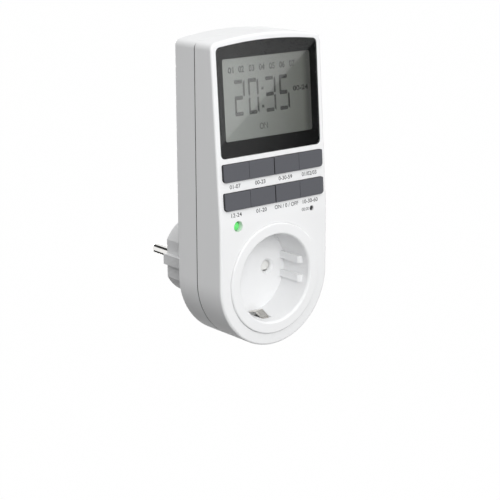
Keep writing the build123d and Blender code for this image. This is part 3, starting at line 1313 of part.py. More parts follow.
carrier_seat = Plane.XZ.offset(CARRIER_BACK_DEPTH + CARRIER_SCREW_SINK)
board_seat = Plane((0, -POWER_BOARD_FRONT, 0), x_dir=(1, 0, 0), z_dir=(0, 1, 0))
board_seat_places = [(x, -height) for x, height in POWER_SCREW_PLACES]
screw_groups = {
    "case_screws": screw_group(case_screw, Plane.XZ.offset(CASE_SCREW_SEAT), CASE_SCREW_PLACES),
    "carrier_screws": screw_group(small_screw, carrier_seat, CARRIER_SCREW_PLACES),
    "power_board_screws": screw_group(small_screw, board_seat, board_seat_places),
    "control_board_screws": screw_group(small_screw, face_plane(CONTROL_BOARD_BACK), CONTROL_SCREW_PLACES),
}
for name, screws in screw_groups.items():
    screws.label = name
    export_step(screws, f"parts/{name}.step")
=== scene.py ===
import json
import math

import bmesh
import bpy
from mathutils import Matrix, Vector


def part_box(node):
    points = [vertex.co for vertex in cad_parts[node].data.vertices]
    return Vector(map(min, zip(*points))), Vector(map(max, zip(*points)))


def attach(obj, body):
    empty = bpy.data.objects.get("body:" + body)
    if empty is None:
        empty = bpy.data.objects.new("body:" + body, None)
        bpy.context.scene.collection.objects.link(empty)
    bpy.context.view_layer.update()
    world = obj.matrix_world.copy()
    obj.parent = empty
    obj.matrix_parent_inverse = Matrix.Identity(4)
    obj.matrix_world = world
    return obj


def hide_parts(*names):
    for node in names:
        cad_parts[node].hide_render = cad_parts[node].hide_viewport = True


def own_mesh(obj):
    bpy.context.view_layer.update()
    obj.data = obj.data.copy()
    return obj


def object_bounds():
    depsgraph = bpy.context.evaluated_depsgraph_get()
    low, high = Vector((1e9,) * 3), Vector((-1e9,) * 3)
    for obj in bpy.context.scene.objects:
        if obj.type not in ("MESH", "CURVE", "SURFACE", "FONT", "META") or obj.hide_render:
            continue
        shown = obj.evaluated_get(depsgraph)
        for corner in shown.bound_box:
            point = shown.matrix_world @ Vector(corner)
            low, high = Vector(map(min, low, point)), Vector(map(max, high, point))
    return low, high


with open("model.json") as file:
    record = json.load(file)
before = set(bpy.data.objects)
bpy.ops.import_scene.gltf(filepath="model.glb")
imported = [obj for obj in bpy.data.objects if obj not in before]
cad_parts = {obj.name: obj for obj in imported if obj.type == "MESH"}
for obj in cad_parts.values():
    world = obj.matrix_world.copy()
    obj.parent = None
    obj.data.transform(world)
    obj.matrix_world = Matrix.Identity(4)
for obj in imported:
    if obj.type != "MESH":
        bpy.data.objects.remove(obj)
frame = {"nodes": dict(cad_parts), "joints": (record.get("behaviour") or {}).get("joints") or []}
cad_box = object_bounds()
scene = bpy.context.scene
scene.view_settings.view_transform = "Standard"

# ------------------------------------------------------------------ camera
# It stands to the left of the timer and looks down a little on the display, from two thirds
# of a metre away and through a long lens, so the face, the left side and the pins all show.

MM = 0.001
EYE = Vector((-388.3, -510.5, 175.1)) * MM
TURN = math.radians(-39.505)
PITCH = math.radians(15.215)
ROLL = math.radians(-0.18)
LONG_LENS = 103.24
CLIP_NEAR = 0.01
CLIP_FAR = 50

camera = bpy.data.objects.new("camera", bpy.data.cameras.new("camera"))
scene.collection.objects.link(camera)
scene.camera = camera
camera.data.lens = LONG_LENS
camera.data.clip_start = CLIP_NEAR
camera.data.clip_end = CLIP_FAR
camera.matrix_world = (
    Matrix.Translation(EYE)
    @ Matrix.Rotation(TURN, 4, "Z")
    @ Matrix.Rotation(math.pi / 2 - PITCH, 4, "X")
    @ Matrix.Rotation(ROLL, 4, "Z")
)

# ------------------------------------------------------------------ studio
# A white room with a pale floor well below the timer, which hangs at socket height. Two soft
# lamps stand in front and one behind, and the room itself fills the shadows, more from above
# and from the front than from below and behind.


class Wire:
    """A node's output, so that masks and heights can be summed as plain Python."""

    def __init__(self, graph, socket):
        self.graph = graph
        self.socket = socket

    def maths(self, operation, *terms):
        return self.graph.node("Math", {"operation": operation}, dict(enumerate(terms)))

    def __add__(self, other):
        return self.maths("ADD", self, other)

    def __sub__(self, other):
        return self.maths("SUBTRACT", self, other)

    def __rsub__(self, other):
        return self.maths("SUBTRACT", other, self)

    def __mul__(self, other):
        return self.maths("MULTIPLY", self, other)

    def __truediv__(self, other):
        return self.maths("DIVIDE", self, other)

    def __rtruediv__(self, other):
        return self.maths("DIVIDE", other, self)

    def __abs__(self):
        return self.maths("ABSOLUTE", self)

    __radd__ = __add__
    __rmul__ = __mul__

    def above(self, least):
        """This, and least where this is less."""
        return self.maths("MAXIMUM", self, least)

    def ramp(self, start, end):
        """0 at start, 1 at end and smooth between them."""
        sockets = {"Value": self, "From Min": start, "From Max": end}
        return self.graph.node("MapRange", {"interpolation_type": "SMOOTHSTEP"}, sockets)

    def mix(self, low, high):
        """The colour low where this is 0, and high where it is 1."""
        return self.graph.node("Mix", {"data_type": "RGBA"}, {0: self, 6: low, 7: high}, output=2)

    def along(self, way):
        """How far this place lies along a way."""
        dot = {"operation": "DOT_PRODUCT"}
        return self.graph.node("VectorMath", dot, {0: self, 1: way}, output="Value")

    def beside(self, output):
        """Another output of the same node."""
        return Wire(self.graph, self.socket.node.outputs[output])


class Graph:
    """The nodes of one finish or of the room."""

    def __init__(self, owner):
        owner.use_nodes = True
        self.owner = owner
        self.tree = owner.node_tree
        self.tree.nodes.clear()

    def node(self, kind, settings=None, sockets=None, output=0):
        """Adds a node, makes its settings, then fills or links its sockets. It gives one of its
        outputs."""
        node = self.tree.nodes.new("ShaderNode" + kind)
        for name, value in (settings or {}).items():
            setattr(node, name, value)
        for name, value in (sockets or {}).items():
            if isinstance(value, Wire):
                self.tree.links.new(value.socket, node.inputs[name])
            else:
                node.inputs[name].default_value = value
        return Wire(self, node.outputs[output]) if len(node.outputs) else None

    def place(self):
        """Where a point is on the part, in metres."""
        return self.node("TexCoord", output="Object")

    def noise(self, place, scale, detail=2):
        """An even cloud from 0 to 1."""
        return self.node("TexNoise", sockets={"Vector": place, "Scale": scale, "Detail": detail})

    def close(self, shader, output="OutputMaterial"):
        """Ends the graph with a shader, and gives the finish or the room that it belongs to."""
        self.node(output, sockets={"Surface": shader})
        return self.owner


def grey(level):
    """A neutral colour."""
    return (level, level, level, 1)


def shown_rays(graph):
    """1 for what the camera sees, by itself or in metal and glass, and 0 for light on the part."""
    seen = graph.node("LightPath", output="Is Camera Ray")
    return seen + seen.beside("Is Glossy Ray") + seen.beside("Is Transmission Ray")


def box_outline(left, right, low, high):
    """Four corners of a box."""
    return ((left, low), (right, low), (right, high), (left, high))


def sheet(name, corners, faces=None):
    """A flat sheet through all its corners, or one with the faces that are given."""
    mesh = bpy.data.meshes.new(name)
    mesh.from_pydata([tuple(c) for c in corners], [], faces or [tuple(range(len(corners)))])
    item = bpy.data.objects.new(name, mesh)
    scene.collection.objects.link(item)
    return item


FILL = 0.145
FILL_RISE = 1.13
FILL_FRONT = 0.29
graph = Graph(bpy.data.worlds.new("room"))
heading = graph.node("TexCoord", output="Generated")
height = graph.node("SeparateXYZ", sockets={"Vector": heading}, output="Z")
level = FILL + FILL_RISE * height.above(0) - FILL_FRONT * height.beside("Y")
fill = graph.node("Background", sockets={"Color": grey(1), "Strength": level.above(0)})
white = graph.node("Background", sockets={"Color": grey(1), "Strength": 1})
sky = graph.node("MixShader", sockets={0: shown_rays(graph), 1: fill, 2: white})
scene.world = graph.close(sky, "OutputWorld")

FLOOR_DROP = 0.42
FLOOR_HALF = 12
FLOOR_SHOWN = 0.985
FLOOR_CLOUD = 2
FLOOR_PAINT = grey(0.9), grey(0.94)
floor_level = cad_box[0].z - FLOOR_DROP
floor_outline = box_outline(-FLOOR_HALF, FLOOR_HALF, -FLOOR_HALF, FLOOR_HALF)
floor = sheet("floor", [(x, y, floor_level) for x, y in floor_outline])
graph = Graph(bpy.data.materials.new("floor_paint"))
cloud = graph.noise(graph.place(), FLOOR_CLOUD)
paint = graph.node("BsdfDiffuse", sockets={"Color": cloud.mix(*FLOOR_PAINT)})
glow = graph.node("Emission", sockets={"Color": grey(1), "Strength": 1})
shade = graph.node("MixShader", sockets={0: shown_rays(graph) * FLOOR_SHOWN, 1: paint, 2: glow})
floor.data.materials.append(graph.close(shade))
floor.visible_diffuse = False

FACE_CENTRE = Vector((0, -57, 50)) * MM
LAMP_DISTANCE = 0.7
LAMP_SIZE = 0.35
LAMPS = {
    "left_lamp": ((-0.4, -0.85, 0.34), 2.55),
    "right_lamp": ((0.3, -0.85, 0.42), 0.4),
    "back_lamp": ((0.45, 0.85, -0.15), 1.7),
}
for name, (way, watts) in LAMPS.items():
    soft_box = bpy.data.lights.new(name, "AREA")
    soft_box.size = LAMP_SIZE
    soft_box.energy = watts
    lamp = bpy.data.objects.new(name, soft_box)
    scene.collection.objects.link(lamp)
    spot = FACE_CENTRE + Vector(way) * LAMP_DISTANCE
    turn = (FACE_CENTRE - spot).to_track_quat("-Z", "Y")
    lamp.matrix_world = Matrix.Translation(spot) @ turn.to_matrix().to_4x4()

# ------------------------------------------------------------------ housing shells
# Two halves moulded in white plastic, with a fine spark-eroded surface. The rear half carries
# the plug boss and four screw pillars; hooks and screws hold the front half on it.

SHEEN = 0.15
PLASTIC_IOR = 1.5
GRAIN = 0.22 * MM
GRAIN_DEPTH = 0.004 * MM
GRAIN_BUMP = 0.6
GRAIN_MATT = 0.12
FLOW_SCALE = 45
FLOW_SHIFT = 0.02
FLOW_MATT = 0.06
SEAM_GAP = 0.25 * MM
# Painted shade in the parting seam between the shells: its reach, core, colour, and where it fades
# out over the top.
SEAM_SHADE_REACH = 0.26 * MM
SEAM_CORE = 0.9
SEAM_SHADE = grey(0.06)
SEAM_TOP = 103 * MM
SEAM_SHADE_FADE = 2.5 * MM


def tone(colour, share=1):
    """A colour times a share."""
    return (*[min(1, c * share) for c in colour], 1)


def moulded(name, colour, roughness, grain=GRAIN, sheen=SHEEN, seam=None, crown=None):
    """Moulded plastic: a fine even grain, and flow marks that hardly show. Painted shade lies in a
    seam, which is given by its place, and fades out over the top. Painted shade also darkens the
    sides of what stands up to a crown, which is given by its outward way, the heights where the
    shade starts and ends, and the shade."""
    graph = Graph(bpy.data.materials.new(name))
    place = graph.place()
    flow = graph.noise(place, FLOW_SCALE)
    speck = graph.noise(place, 1 / grain, 3)
    tint = flow.mix(tone(colour, 1 - FLOW_SHIFT), tone(colour, 1 + FLOW_SHIFT))
    # Painted shade: darkens the seam's gap and edges, and fades out over the top.
    if seam:
        depth = graph.node("SeparateXYZ", sockets={"Vector": place}, output="Y")
        painted_seam_shade = abs(depth - seam).ramp(SEAM_SHADE_REACH, SEAM_SHADE_REACH * SEAM_CORE)
        painted_seam_shade = painted_seam_shade * depth.beside("Z").ramp(SEAM_TOP, SEAM_TOP - SEAM_SHADE_FADE)
        tint = painted_seam_shade.mix(tint, SEAM_SHADE)
    if crown:
        way, start, end, share = crown
        tint = place.along(way).ramp(start, end).mix(tint, tone(colour, share))
    grained = {"Strength": GRAIN_BUMP, "Distance": GRAIN_DEPTH, "Height": speck}
    sockets = {
        "Base Color": tint,
        "Roughness": roughness + GRAIN_MATT * (speck - 0.5) + FLOW_MATT * (flow - 0.5),
        "Normal": graph.node("Bump", sockets=grained),
        "IOR": PLASTIC_IOR,
        "Specular IOR Level": sheen,
    }
    return graph.close(graph.node("BsdfPrincipled", sockets=sockets))


nodes = frame["nodes"]


def dress(finish, *names):
    """Gives CAD nodes their finish."""
    for name in names:
        for slot in nodes[name].material_slots:
            slot.material = finish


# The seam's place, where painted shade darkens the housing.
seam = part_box("rear_shell")[0].y - SEAM_GAP / 2
housing_white = moulded("housing_white", (0.83, 0.835, 0.84), 0.42, seam=seam)
dress(housing_white, "rear_shell", "front_shell")

# ------------------------------------------------------------------ plug pins
# Two round brass pins, nickel plated and polished, for line and neutral. Each is pressed
# through the boss's face.

LINE_PITCH = 0.08 * MM
LINE_DEPTH = 0.0015 * MM
LINE_BUMP = 0.5
LINE_MATT = 0.05
RUB_SCALE = 180
RUB_SHADE = 0.94
RUB_LEVEL = 0.4
RUB_MATT = 0.1


def plated(name, colour, roughness, stretch=(1, 0.04, 1)):
    """Plated or drawn metal: fine lines along one way, and faint rubbed patches."""
    graph = Graph(bpy.data.materials.new(name))
    place = graph.place()
    along = graph.node("Mapping", sockets={"Vector": place, "Scale": stretch})
    line = graph.noise(along, 1 / LINE_PITCH)
    rub = graph.noise(place, RUB_SCALE, 3)
    lined = {"Strength": LINE_BUMP, "Distance": LINE_DEPTH, "Height": line}
    rubbed = (rub - RUB_LEVEL).ramp(0, RUB_LEVEL)
    sockets = {
        "Base Color": rub.mix(tone(colour, RUB_SHADE), tone(colour)),
        "Roughness": roughness + RUB_MATT * rubbed + LINE_MATT * (line - 0.5),
        "Metallic": 1.0,
        "Normal": graph.node("Bump", sockets=lined),
    }
    return graph.close(graph.node("BsdfPrincipled", sockets=sockets))


pin_nickel = plated("pin_nickel", (0.88, 0.87, 0.85), 0.06)
dress(pin_nickel, "line_pin", "neutral_pin")

# Black flags stand behind the timer, where only polished metal shows them.
FLAG_BEHIND = 500 * MM
FLAGS = {
    "flag_above": (-900, -50, 215, 480),
    "flag_below": (-260, 90, -480, -290),
    "flag_beside": (270, 330, 240, 300),
}
FLAG_SCALE = 40
FLAG_BLACK = grey(0.02), grey(0.05)
graph = Graph(bpy.data.materials.new("flag_cloth"))
weave = graph.noise(graph.place(), FLAG_SCALE)
flag_cloth = graph.close(graph.node("Emission", sockets={"Color": weave.mix(*FLAG_BLACK)}))
flags = []
for name, edges in FLAGS.items():
    corners = [(x * MM, FLAG_BEHIND, z * MM) for x, z in box_outline(*edges)]
    flags.append(sheet(name, corners))

# A black hoop of two bands goes round the other sides, so that the pins stand out there too.
HOOP_RADIUS = 700 * MM
HOOP_OPENING = math.radians(60)
HOOP_STEPS = 32
HOOP_BANDS = ((300, 640), (-440, -320))
hoop_turn = (math.tau - 2 * HOOP_OPENING) / HOOP_STEPS
corners, faces = [], []
for low, high in HOOP_BANDS:
    for step in range(HOOP_STEPS + 1):
        turn = HOOP_OPENING + hoop_turn * step
        x, y = math.sin(turn) * HOOP_RADIUS, math.cos(turn) * HOOP_RADIUS
        if step:
            next_one = len(corners)
            faces.append((next_one - 2, next_one - 1, next_one + 1, next_one))
        corners += [(x, y, low * MM), (x, y, high * MM)]
flags.append(sheet("hoop", corners, faces))


def hide_from(item, *rays):
    """Hides a sheet of the studio from kinds of rays."""
    for kind in rays:
        setattr(item, "visible_" + kind, False)


for flag in flags:
    flag.data.materials.append(flag_cloth)
    hide_from(flag, "camera", "diffuse", "shadow", "transmission")

# ------------------------------------------------------------------ earth frame
# One bent strip of nickel-plated brass. Its ends are the plug's earth contacts behind and the
# springs that show in the recess in front.

earth_nickel = plated("earth_nickel", (0.76, 0.74, 0.70), 0.22, stretch=(0.04, 1, 1))
dress(earth_nickel, "earth_frame")

# ------------------------------------------------------------------ contacts and straps
# Bare brass, stamped and folded. The contacts grip the other plug's pins, and the straps join
# them to the timer's own pins and to the power board.

contact_brass = plated("contact_brass", (0.78, 0.58, 0.26), 0.28, stretch=(1, 1, 0.05))
dress(contact_brass, "line_contact", "neutral_contact")
dress(contact_brass, "line_strap", "load_strap", "neutral_strap", "return_strap")

# ------------------------------------------------------------------ contact carrier
# An ivory plate with two chimneys, screwed to the rear shell. It holds the contacts in line
# with the pin holes.

carrier_ivory = moulded("carrier_ivory", (0.78, 0.74, 0.62), 0.5)
dress(carrier_ivory, "contact_carrier")

# ------------------------------------------------------------------ shutter and its spring
# A white moulded bar that turns on a post behind the pin holes, and the steel leaf that
# brings it back. The leaf is held at its right end and bears on the shutter with its slanting
# end; here it is a copy of the CAD leaf that does not bend.

shutter_white = moulded("shutter_white", (0.80, 0.80, 0.78), 0.38)
spring_steel = plated("spring_steel", (0.62, 0.62, 0.6), 0.25, stretch=(1, 1, 0.05))
dress(shutter_white, "shutter")


def finished(name, mesh, finish):
    """A new piece of the housing from a mesh."""
    piece = bpy.data.objects.new(name, mesh)
    scene.collection.objects.link(piece)
    mesh.materials.clear()
    mesh.materials.append(finish)
    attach(piece, "root")
    return piece


leaf = finished("spring_leaf", nodes["shutter_spring"].data.copy(), spring_steel)
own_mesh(leaf)
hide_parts("shutter_spring")

# ------------------------------------------------------------------ socket cup
# A separate white moulding: the raised collar, the recess with its side guides, and the
# floor with two pin holes. Lugs hold it in the front shell.

cup_white = moulded("cup_white", (0.84, 0.845, 0.85), 0.36)
dress(cup_white, "socket_cup")

# ------------------------------------------------------------------ circuit boards
# Green boards of glass cloth and epoxy, with copper tracks under the lacquer. The power board
# stands on the rear shell's posts and the control board on the front shell's.

TRACK_PITCH = 2.54 * MM
TRACK_EDGES = (0.38, 0.42)
TRACK_DEPTH = 0.03 * MM
TRACK_BUMP = 0.5
CLOTH_SCALE = 2500
CLOTH_DEPTH = 0.2
CLOTH_MATT = 0.1
LACQUER_MATT = 0.25
LACQUER_DARK = (0.01, 0.09, 0.035)
LACQUER_PALE = (0.03, 0.2, 0.07)

graph = Graph(bpy.data.materials.new("board_green"))
place = graph.place()
square = {"distance": "CHEBYCHEV"}
grid = graph.node("TexVoronoi", square, {"Vector": place, "Scale": 1 / TRACK_PITCH})
track = grid.ramp(*TRACK_EDGES)
cloth = graph.noise(place, CLOTH_SCALE)
relief = {"Strength": TRACK_BUMP, "Distance": TRACK_DEPTH, "Height": track + CLOTH_DEPTH * cloth}
sockets = {
    "Base Color": track.mix(tone(LACQUER_DARK), tone(LACQUER_PALE)),
    "Roughness": LACQUER_MATT + CLOTH_MATT * cloth,
    "Normal": graph.node("Bump", sockets=relief),
}
board_green = graph.close(graph.node("BsdfPrincipled", sockets=sockets))
dress(board_green, "power_board", "control_board")

# ------------------------------------------------------------------ components on the power board
# A sealed relay, a film capacitor and an electrolytic one, a bridge rectifier, a lacquered fuse
# resistor, a dipped varistor and the header that joins the two boards. All are soldered.

VARISTOR_GRAIN = 0.6 * MM
relay_black = moulded("relay_black", (0.025, 0.025, 0.028), 0.35)
capacitor_yellow = moulded("capacitor_yellow", (0.62, 0.42, 0.04), 0.3)
capacitor_sleeve = moulded("capacitor_sleeve", (0.02, 0.025, 0.05), 0.25)
chip_black = moulded("chip_black", (0.02, 0.02, 0.02), 0.5)
resistor_blue = moulded("resistor_blue", (0.12, 0.3, 0.42), 0.25)
varistor_orange = moulded("varistor_orange", (0.65, 0.2, 0.03), 0.25, grain=VARISTOR_GRAIN)
link_black = moulded("link_black", (0.02, 0.02, 0.02), 0.45)
dress(relay_black, "relay")
dress(capacitor_yellow, "dropper_capacitor")
dress(capacitor_sleeve, "reservoir_capacitor")
dress(chip_black, "rectifier")
dress(resistor_blue, "fuse_resistor")
dress(varistor_orange, "varistor")
dress(link_black, "board_link")

# ------------------------------------------------------------------ backup cell
# A nickel-plated button cell that keeps the clock going while the timer is unplugged. It sits
# between two soldered tabs.

cell_steel = plated("cell_steel", (0.68, 0.68, 0.67), 0.2)
dress(cell_steel, "backup_cell", "cell_tabs")

# ------------------------------------------------------------------ components on the control board
# The timer's chip in its flat package of black resin, and the drawn metal can of the clock
# crystal. Both are soldered to the board.

crystal_metal = plated("crystal_metal", (0.72, 0.72, 0.7), 0.15)
dress(chip_black, "microcontroller")
dress(crystal_metal, "clock_crystal")

# ------------------------------------------------------------------ key mat
# One sheet of grey silicone with a dome under each key and under the reset rod. It is only
# pressed in place, and each dome is cut off from the sheet as a piece of its own.

INWARD = Vector(frame["joints"][0]["axis"])
UP_FACE = Vector((0, -INWARD.z, INWARD.y))
ACROSS = Vector((1, 0, 0))


def on_face(node):
    """Lowest and highest place of a node across the face, up it and out of it."""
    ways = (ACROSS, UP_FACE, -INWARD)
    rows = [[way.dot(v.co) for v in nodes[node].data.vertices] for way in ways]
    return [min(row) for row in rows], [max(row) for row in rows]


MAT_THICKNESS = 0.8 * MM
MAT_JOIN = 0.001 * MM
DOME_REACH = 3.3 * MM
KEY_NAMES = [f"key_{row}_{place}" for row in ("upper", "lower") for place in (1, 2, 3, 4)]
mat_rubber = moulded("mat_rubber", (0.42, 0.43, 0.42), 0.6)
dome_foot = on_face("key_mat")[0][2] + MAT_THICKNESS


def mat_part(name, middle=None):
    """The mat's sheet, or its dome round a middle, cut at the dome's foot and closed there."""
    shape = bmesh.new()
    shape.from_mesh(nodes["key_mat"].data)
    bmesh.ops.remove_doubles(shape, verts=shape.verts, dist=MAT_JOIN)
    bmesh.ops.bisect_plane(
        shape,
        geom=shape.verts[:] + shape.edges[:] + shape.faces[:],
        dist=MAT_JOIN,
        plane_co=-INWARD * dome_foot,
        plane_no=-INWARD,
        clear_outer=middle is None,
        clear_inner=middle is not None,
    )
    if middle is not None:
        far = [v for v in shape.verts if INWARD.cross(v.co - middle).length > DOME_REACH]
        bmesh.ops.delete(shape, geom=far, context="VERTS")
    rims = [edge for edge in shape.edges if edge.is_boundary]
    bmesh.ops.triangle_fill(shape, use_beauty=True, edges=rims)
    bmesh.ops.recalc_face_normals(shape, faces=shape.faces)
    for face in shape.faces:
        face.smooth = False
    mesh = bpy.data.meshes.new(name)
    shape.to_mesh(mesh)
    shape.free()
    return finished(name, mesh, mat_rubber)


mat_pieces = [mat_part("mat_sheet")]
for key in KEY_NAMES + ["reset_rod"]:
    (left, low, _), (right, high, _) = on_face(key)
    middle = ACROSS * (left + right) / 2 + UP_FACE * (low + high) / 2 - INWARD * dome_foot
    dome = mat_part("dome_of_" + key, middle)
    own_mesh(dome)
    mat_pieces.append(dome)
for piece in mat_pieces:
    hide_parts("key_mat")

# ------------------------------------------------------------------ contact strip
# The layered silicone strip that joins the glass to the control board. It is held by pressure
# alone.

strip_rubber = moulded("strip_rubber", (0.6, 0.3, 0.32), 0.6)
dress(strip_rubber, "contact_strip")

# ------------------------------------------------------------------ keys and reset rod
# Eight grey caps in two rows, each on its own stem, and the small rod behind the reset hole.
# They are moulded in grey plastic and come up through the face from behind, and shade is
# painted on the caps' sides where they run through it.

# Painted shade on the caps' sides: it starts just under their tops and is full a little lower.
SIDE_START = 0.15 * MM
SIDE_END = 0.4 * MM
SIDE_SHADE = 0.42
key_top = on_face(KEY_NAMES[0])[1][2]
key_side_shade = (-INWARD, key_top - SIDE_START, key_top - SIDE_END, SIDE_SHADE)
key_grey = moulded("key_grey", (0.1035, 0.106, 0.118), 0.45, crown=key_side_shade)
rod_grey = moulded("rod_grey", (0.055, 0.055, 0.06), 0.4)
dress(key_grey, *KEY_NAMES)
dress(rod_grey, "reset_rod")

# ------------------------------------------------------------------ display glass
# Two thin glass plates with the liquid between them and a grey reflector behind. A black
# frame clamps it to the control board.

# Painted shade near the glass's right edge: where it starts and ends, and how dark it gets.
EDGE_SHADE_START = 7.4 * MM
EDGE_SHADE_END = 3.6 * MM
EDGE_SHADE = 0.42
FILM_CLOUD = 60
FILM_CLOUD_SHARE = 0.06
FILM_DUST = 6000
FILM_MATT = 0.5
FILM_DUST_MATT = 0.1
COAT_MATT = 0.03
COAT_IOR = 2.3
glass_low, glass_high = on_face("display_glass")


def crystal_film(name, left, right):
    """Painted shade on a colour: it fades from left to right and darkens further near the right
    edge, under a polished film that mirrors the room.
    """
    graph = Graph(bpy.data.materials.new(name))
    place = graph.place()
    across = graph.node("SeparateXYZ", sockets={"Vector": place}, output="X")
    cloud = graph.noise(place, FILM_CLOUD)
    dust = graph.noise(place, FILM_DUST)
    # Painted shade: the colour fades from left to right, and darkens more near the right edge.
    fade = across.ramp(glass_low[0], glass_high[0]) + FILM_CLOUD_SHARE * (cloud - 0.5)
    edge = across.ramp(glass_high[0] - EDGE_SHADE_START, glass_high[0] - EDGE_SHADE_END)
    sockets = {
        "Base Color": edge.mix(fade.mix(tone(left), tone(right)), tone(right, EDGE_SHADE)),
        "Roughness": FILM_MATT + FILM_DUST_MATT * (dust - 0.5),
        "Coat Weight": 1.0,
        "Coat Roughness": COAT_MATT,
        "Coat IOR": COAT_IOR,
    }
    return graph.close(graph.node("BsdfPrincipled", sockets=sockets))


# The glass is painted paler on the left and darker on the right: painted shade.
lcd_glass = crystal_film("lcd_glass", (0.164, 0.176, 0.164), (0.084, 0.087, 0.078))
frame_black = moulded("frame_black", (0.02, 0.02, 0.02), 0.5)
dress(lcd_glass, "display_glass")
dress(frame_black, "display_frame")

# ------------------------------------------------------------------ marks on the glass
# The segments that the liquid crystal shows: the time in four digits, the days as numbers and
# two small marks. They lie under the glass's front film, and a dark seal runs round them.

MARK_DEPTH = 0.02 * MM
MARK_RISE = 0.012 * MM
# The segments and the seal get the same painted shade, paler on the left and darker on the right.
segment_dark = crystal_film("segment_dark", (0.02, 0.022, 0.02), (0.005, 0.005, 0.005))
seal_grey = crystal_film("seal_grey", (0.13, 0.14, 0.13), (0.11, 0.114, 0.106))


def on_glass(across, up):
    """A place on the glass's front, measured from its middle in millimetres."""
    middle = (glass_low[1] + glass_high[1]) / 2
    return ACROSS * across * MM + UP_FACE * (middle + up * MM) - INWARD * glass_high[2]


def plates(name, outlines, finish):
    """Thin plates on the glass, one for each outline."""
    corners, faces = [], []
    for outline in outlines:
        count = len(outline)
        base = [len(corners) + corner for corner in range(count)]
        for out in (-MARK_DEPTH, MARK_RISE):
            corners += [tuple(on_glass(*corner) - INWARD * out) for corner in outline]
        faces += [base, [corner + count for corner in base]]
        for one, other in zip(base, base[1:] + base[:1]):
            faces.append((one, other, other + count, one + count))
    mesh = bpy.data.meshes.new(name)
    mesh.from_pydata(corners, [], faces)
    shape = bmesh.new()
    shape.from_mesh(mesh)
    bmesh.ops.recalc_face_normals(shape, faces=shape.faces)
    shape.to_mesh(mesh)
    shape.free()
    return finished(name, mesh, finish)


LETTER_CURVES = 6
LETTER_JOIN = 0.002


def lettering(name, text, middle, size, finish, weight=0.0):
    """Numbers or plain letters that fill a width and height round their middle."""
    curve = bpy.data.curves.new(name, "FONT")
    curve.body = text
    curve.extrude = 1
    curve.offset = weight
    curve.resolution_u = LETTER_CURVES
    holder = bpy.data.objects.new(name, curve)
    mesh = bpy.data.meshes.new_from_object(holder)
    bpy.data.objects.remove(holder)
    shape = bmesh.new()
    shape.from_mesh(mesh)
    bmesh.ops.remove_doubles(shape, verts=shape.verts, dist=LETTER_JOIN)
    bmesh.ops.dissolve_degenerate(shape, dist=LETTER_JOIN, edges=shape.edges)
    shape.to_mesh(mesh)
    shape.free()
    xs = [v.co.x for v in mesh.vertices]
    ys = [v.co.y for v in mesh.vertices]
    for v in mesh.vertices:
        across = ((v.co.x - min(xs)) / (max(xs) - min(xs)) - 0.5) * size[0] * MM
        up = ((v.co.y - min(ys)) / (max(ys) - min(ys)) - 0.5) * size[1] * MM
        out = MARK_RISE if v.co.z > 0 else -MARK_DEPTH
        v.co = middle + ACROSS * across + UP_FACE * up - INWARD * out
    return finished(name, mesh, finish)


DIGIT_WIDTH = 5.6
DIGIT_HEIGHT = 15.0
DIGIT_MIDDLE = 0.55
DIGIT_LEFTS = (-18.1, -10.65, -1.25, 6.4)
# The bars are drawn thicker than the segments themselves, taking in the shadow each casts on the
# reflector: partly segment, partly painted shadow.
BAR_AND_SHADOW = 1.6
POST = 0.95
BREAK = 0.3
LIT = {"0": "abcdef", "2": "abdeg", "3": "abcdg", "5": "acdfg"}
TIME = "2035"


def digit_segments(figure, left):
    """Outlines of a digit's lit segments: bars a, g and d from the top down, and posts b, c, e
    and f."""
    right = left + DIGIT_WIDTH
    low = DIGIT_MIDDLE - DIGIT_HEIGHT / 2
    high = DIGIT_MIDDLE + DIGIT_HEIGHT / 2
    bar_left, bar_right = left + BREAK, right - POST - BREAK / 2
    bars = {"a": high - BAR_AND_SHADOW, "g": DIGIT_MIDDLE - BAR_AND_SHADOW / 2, "d": low}
    posts = {"f": (left, high), "b": (right, high), "e": (left, low), "c": (right, low)}
    outlines = {}
    for bar, level in bars.items():
        outlines[bar] = (
            (bar_left, level),
            (bar_right - BREAK, level),
            (bar_right, level + BAR_AND_SHADOW / 2),
            (bar_right - BREAK, level + BAR_AND_SHADOW),
            (bar_left, level + BAR_AND_SHADOW),
            (bar_left - BREAK, level + BAR_AND_SHADOW / 2),
        )
    for post, (side, end) in posts.items():
        inward = POST if side == left else -POST
        upward = 1 if end == high else -1
        outlines[post] = (
            (side, end - upward * BREAK),
            (side, DIGIT_MIDDLE + upward * (BREAK + POST / 2)),
            (side + inward / 2, DIGIT_MIDDLE + upward * BREAK),
            (side + inward, DIGIT_MIDDLE + upward * (BREAK + POST / 2)),
            (side + inward, end - upward * (POST + BREAK)),
        )
    return [outlines[segment] for segment in LIT[figure]]


COLON_MIDDLE = -2.9
COLON_LEVELS = (-4.25, 3.35)
DOT = 0.58
segments = []
for figure, left in zip(TIME, DIGIT_LEFTS):
    segments += digit_segments(figure, left)
for up in COLON_LEVELS:
    segments.append(box_outline(COLON_MIDDLE - DOT, COLON_MIDDLE + DOT, up - DOT, up + DOT))
plates("display_time", segments, segment_dark)

DAYS = 7
DAY_START = -19.5
DAY_STEP = 5.58
DAY_LEVEL = 12.3
DAY_SIZE = (3.0, 2.7)
DAY_WEIGHT = 0.03
for day in range(DAYS):
    middle = on_glass(DAY_START + day * DAY_STEP, DAY_LEVEL)
    name, text = f"display_day_{day + 1}", f"0{day + 1}"
    lettering(name, text, middle, DAY_SIZE, segment_dark, DAY_WEIGHT)

SMALL_MARKS = {
    "display_mark_right": ("00-24", (18.3, 1.6), (8.6, 2.2), 0.035),
    "display_mark_low": ("ON", (-3.1, -12.4), (4.4, 2.6), 0.0),
}
for name, (text, middle, size, weight) in SMALL_MARKS.items():
    lettering(name, text, on_glass(*middle), size, segment_dark, weight)

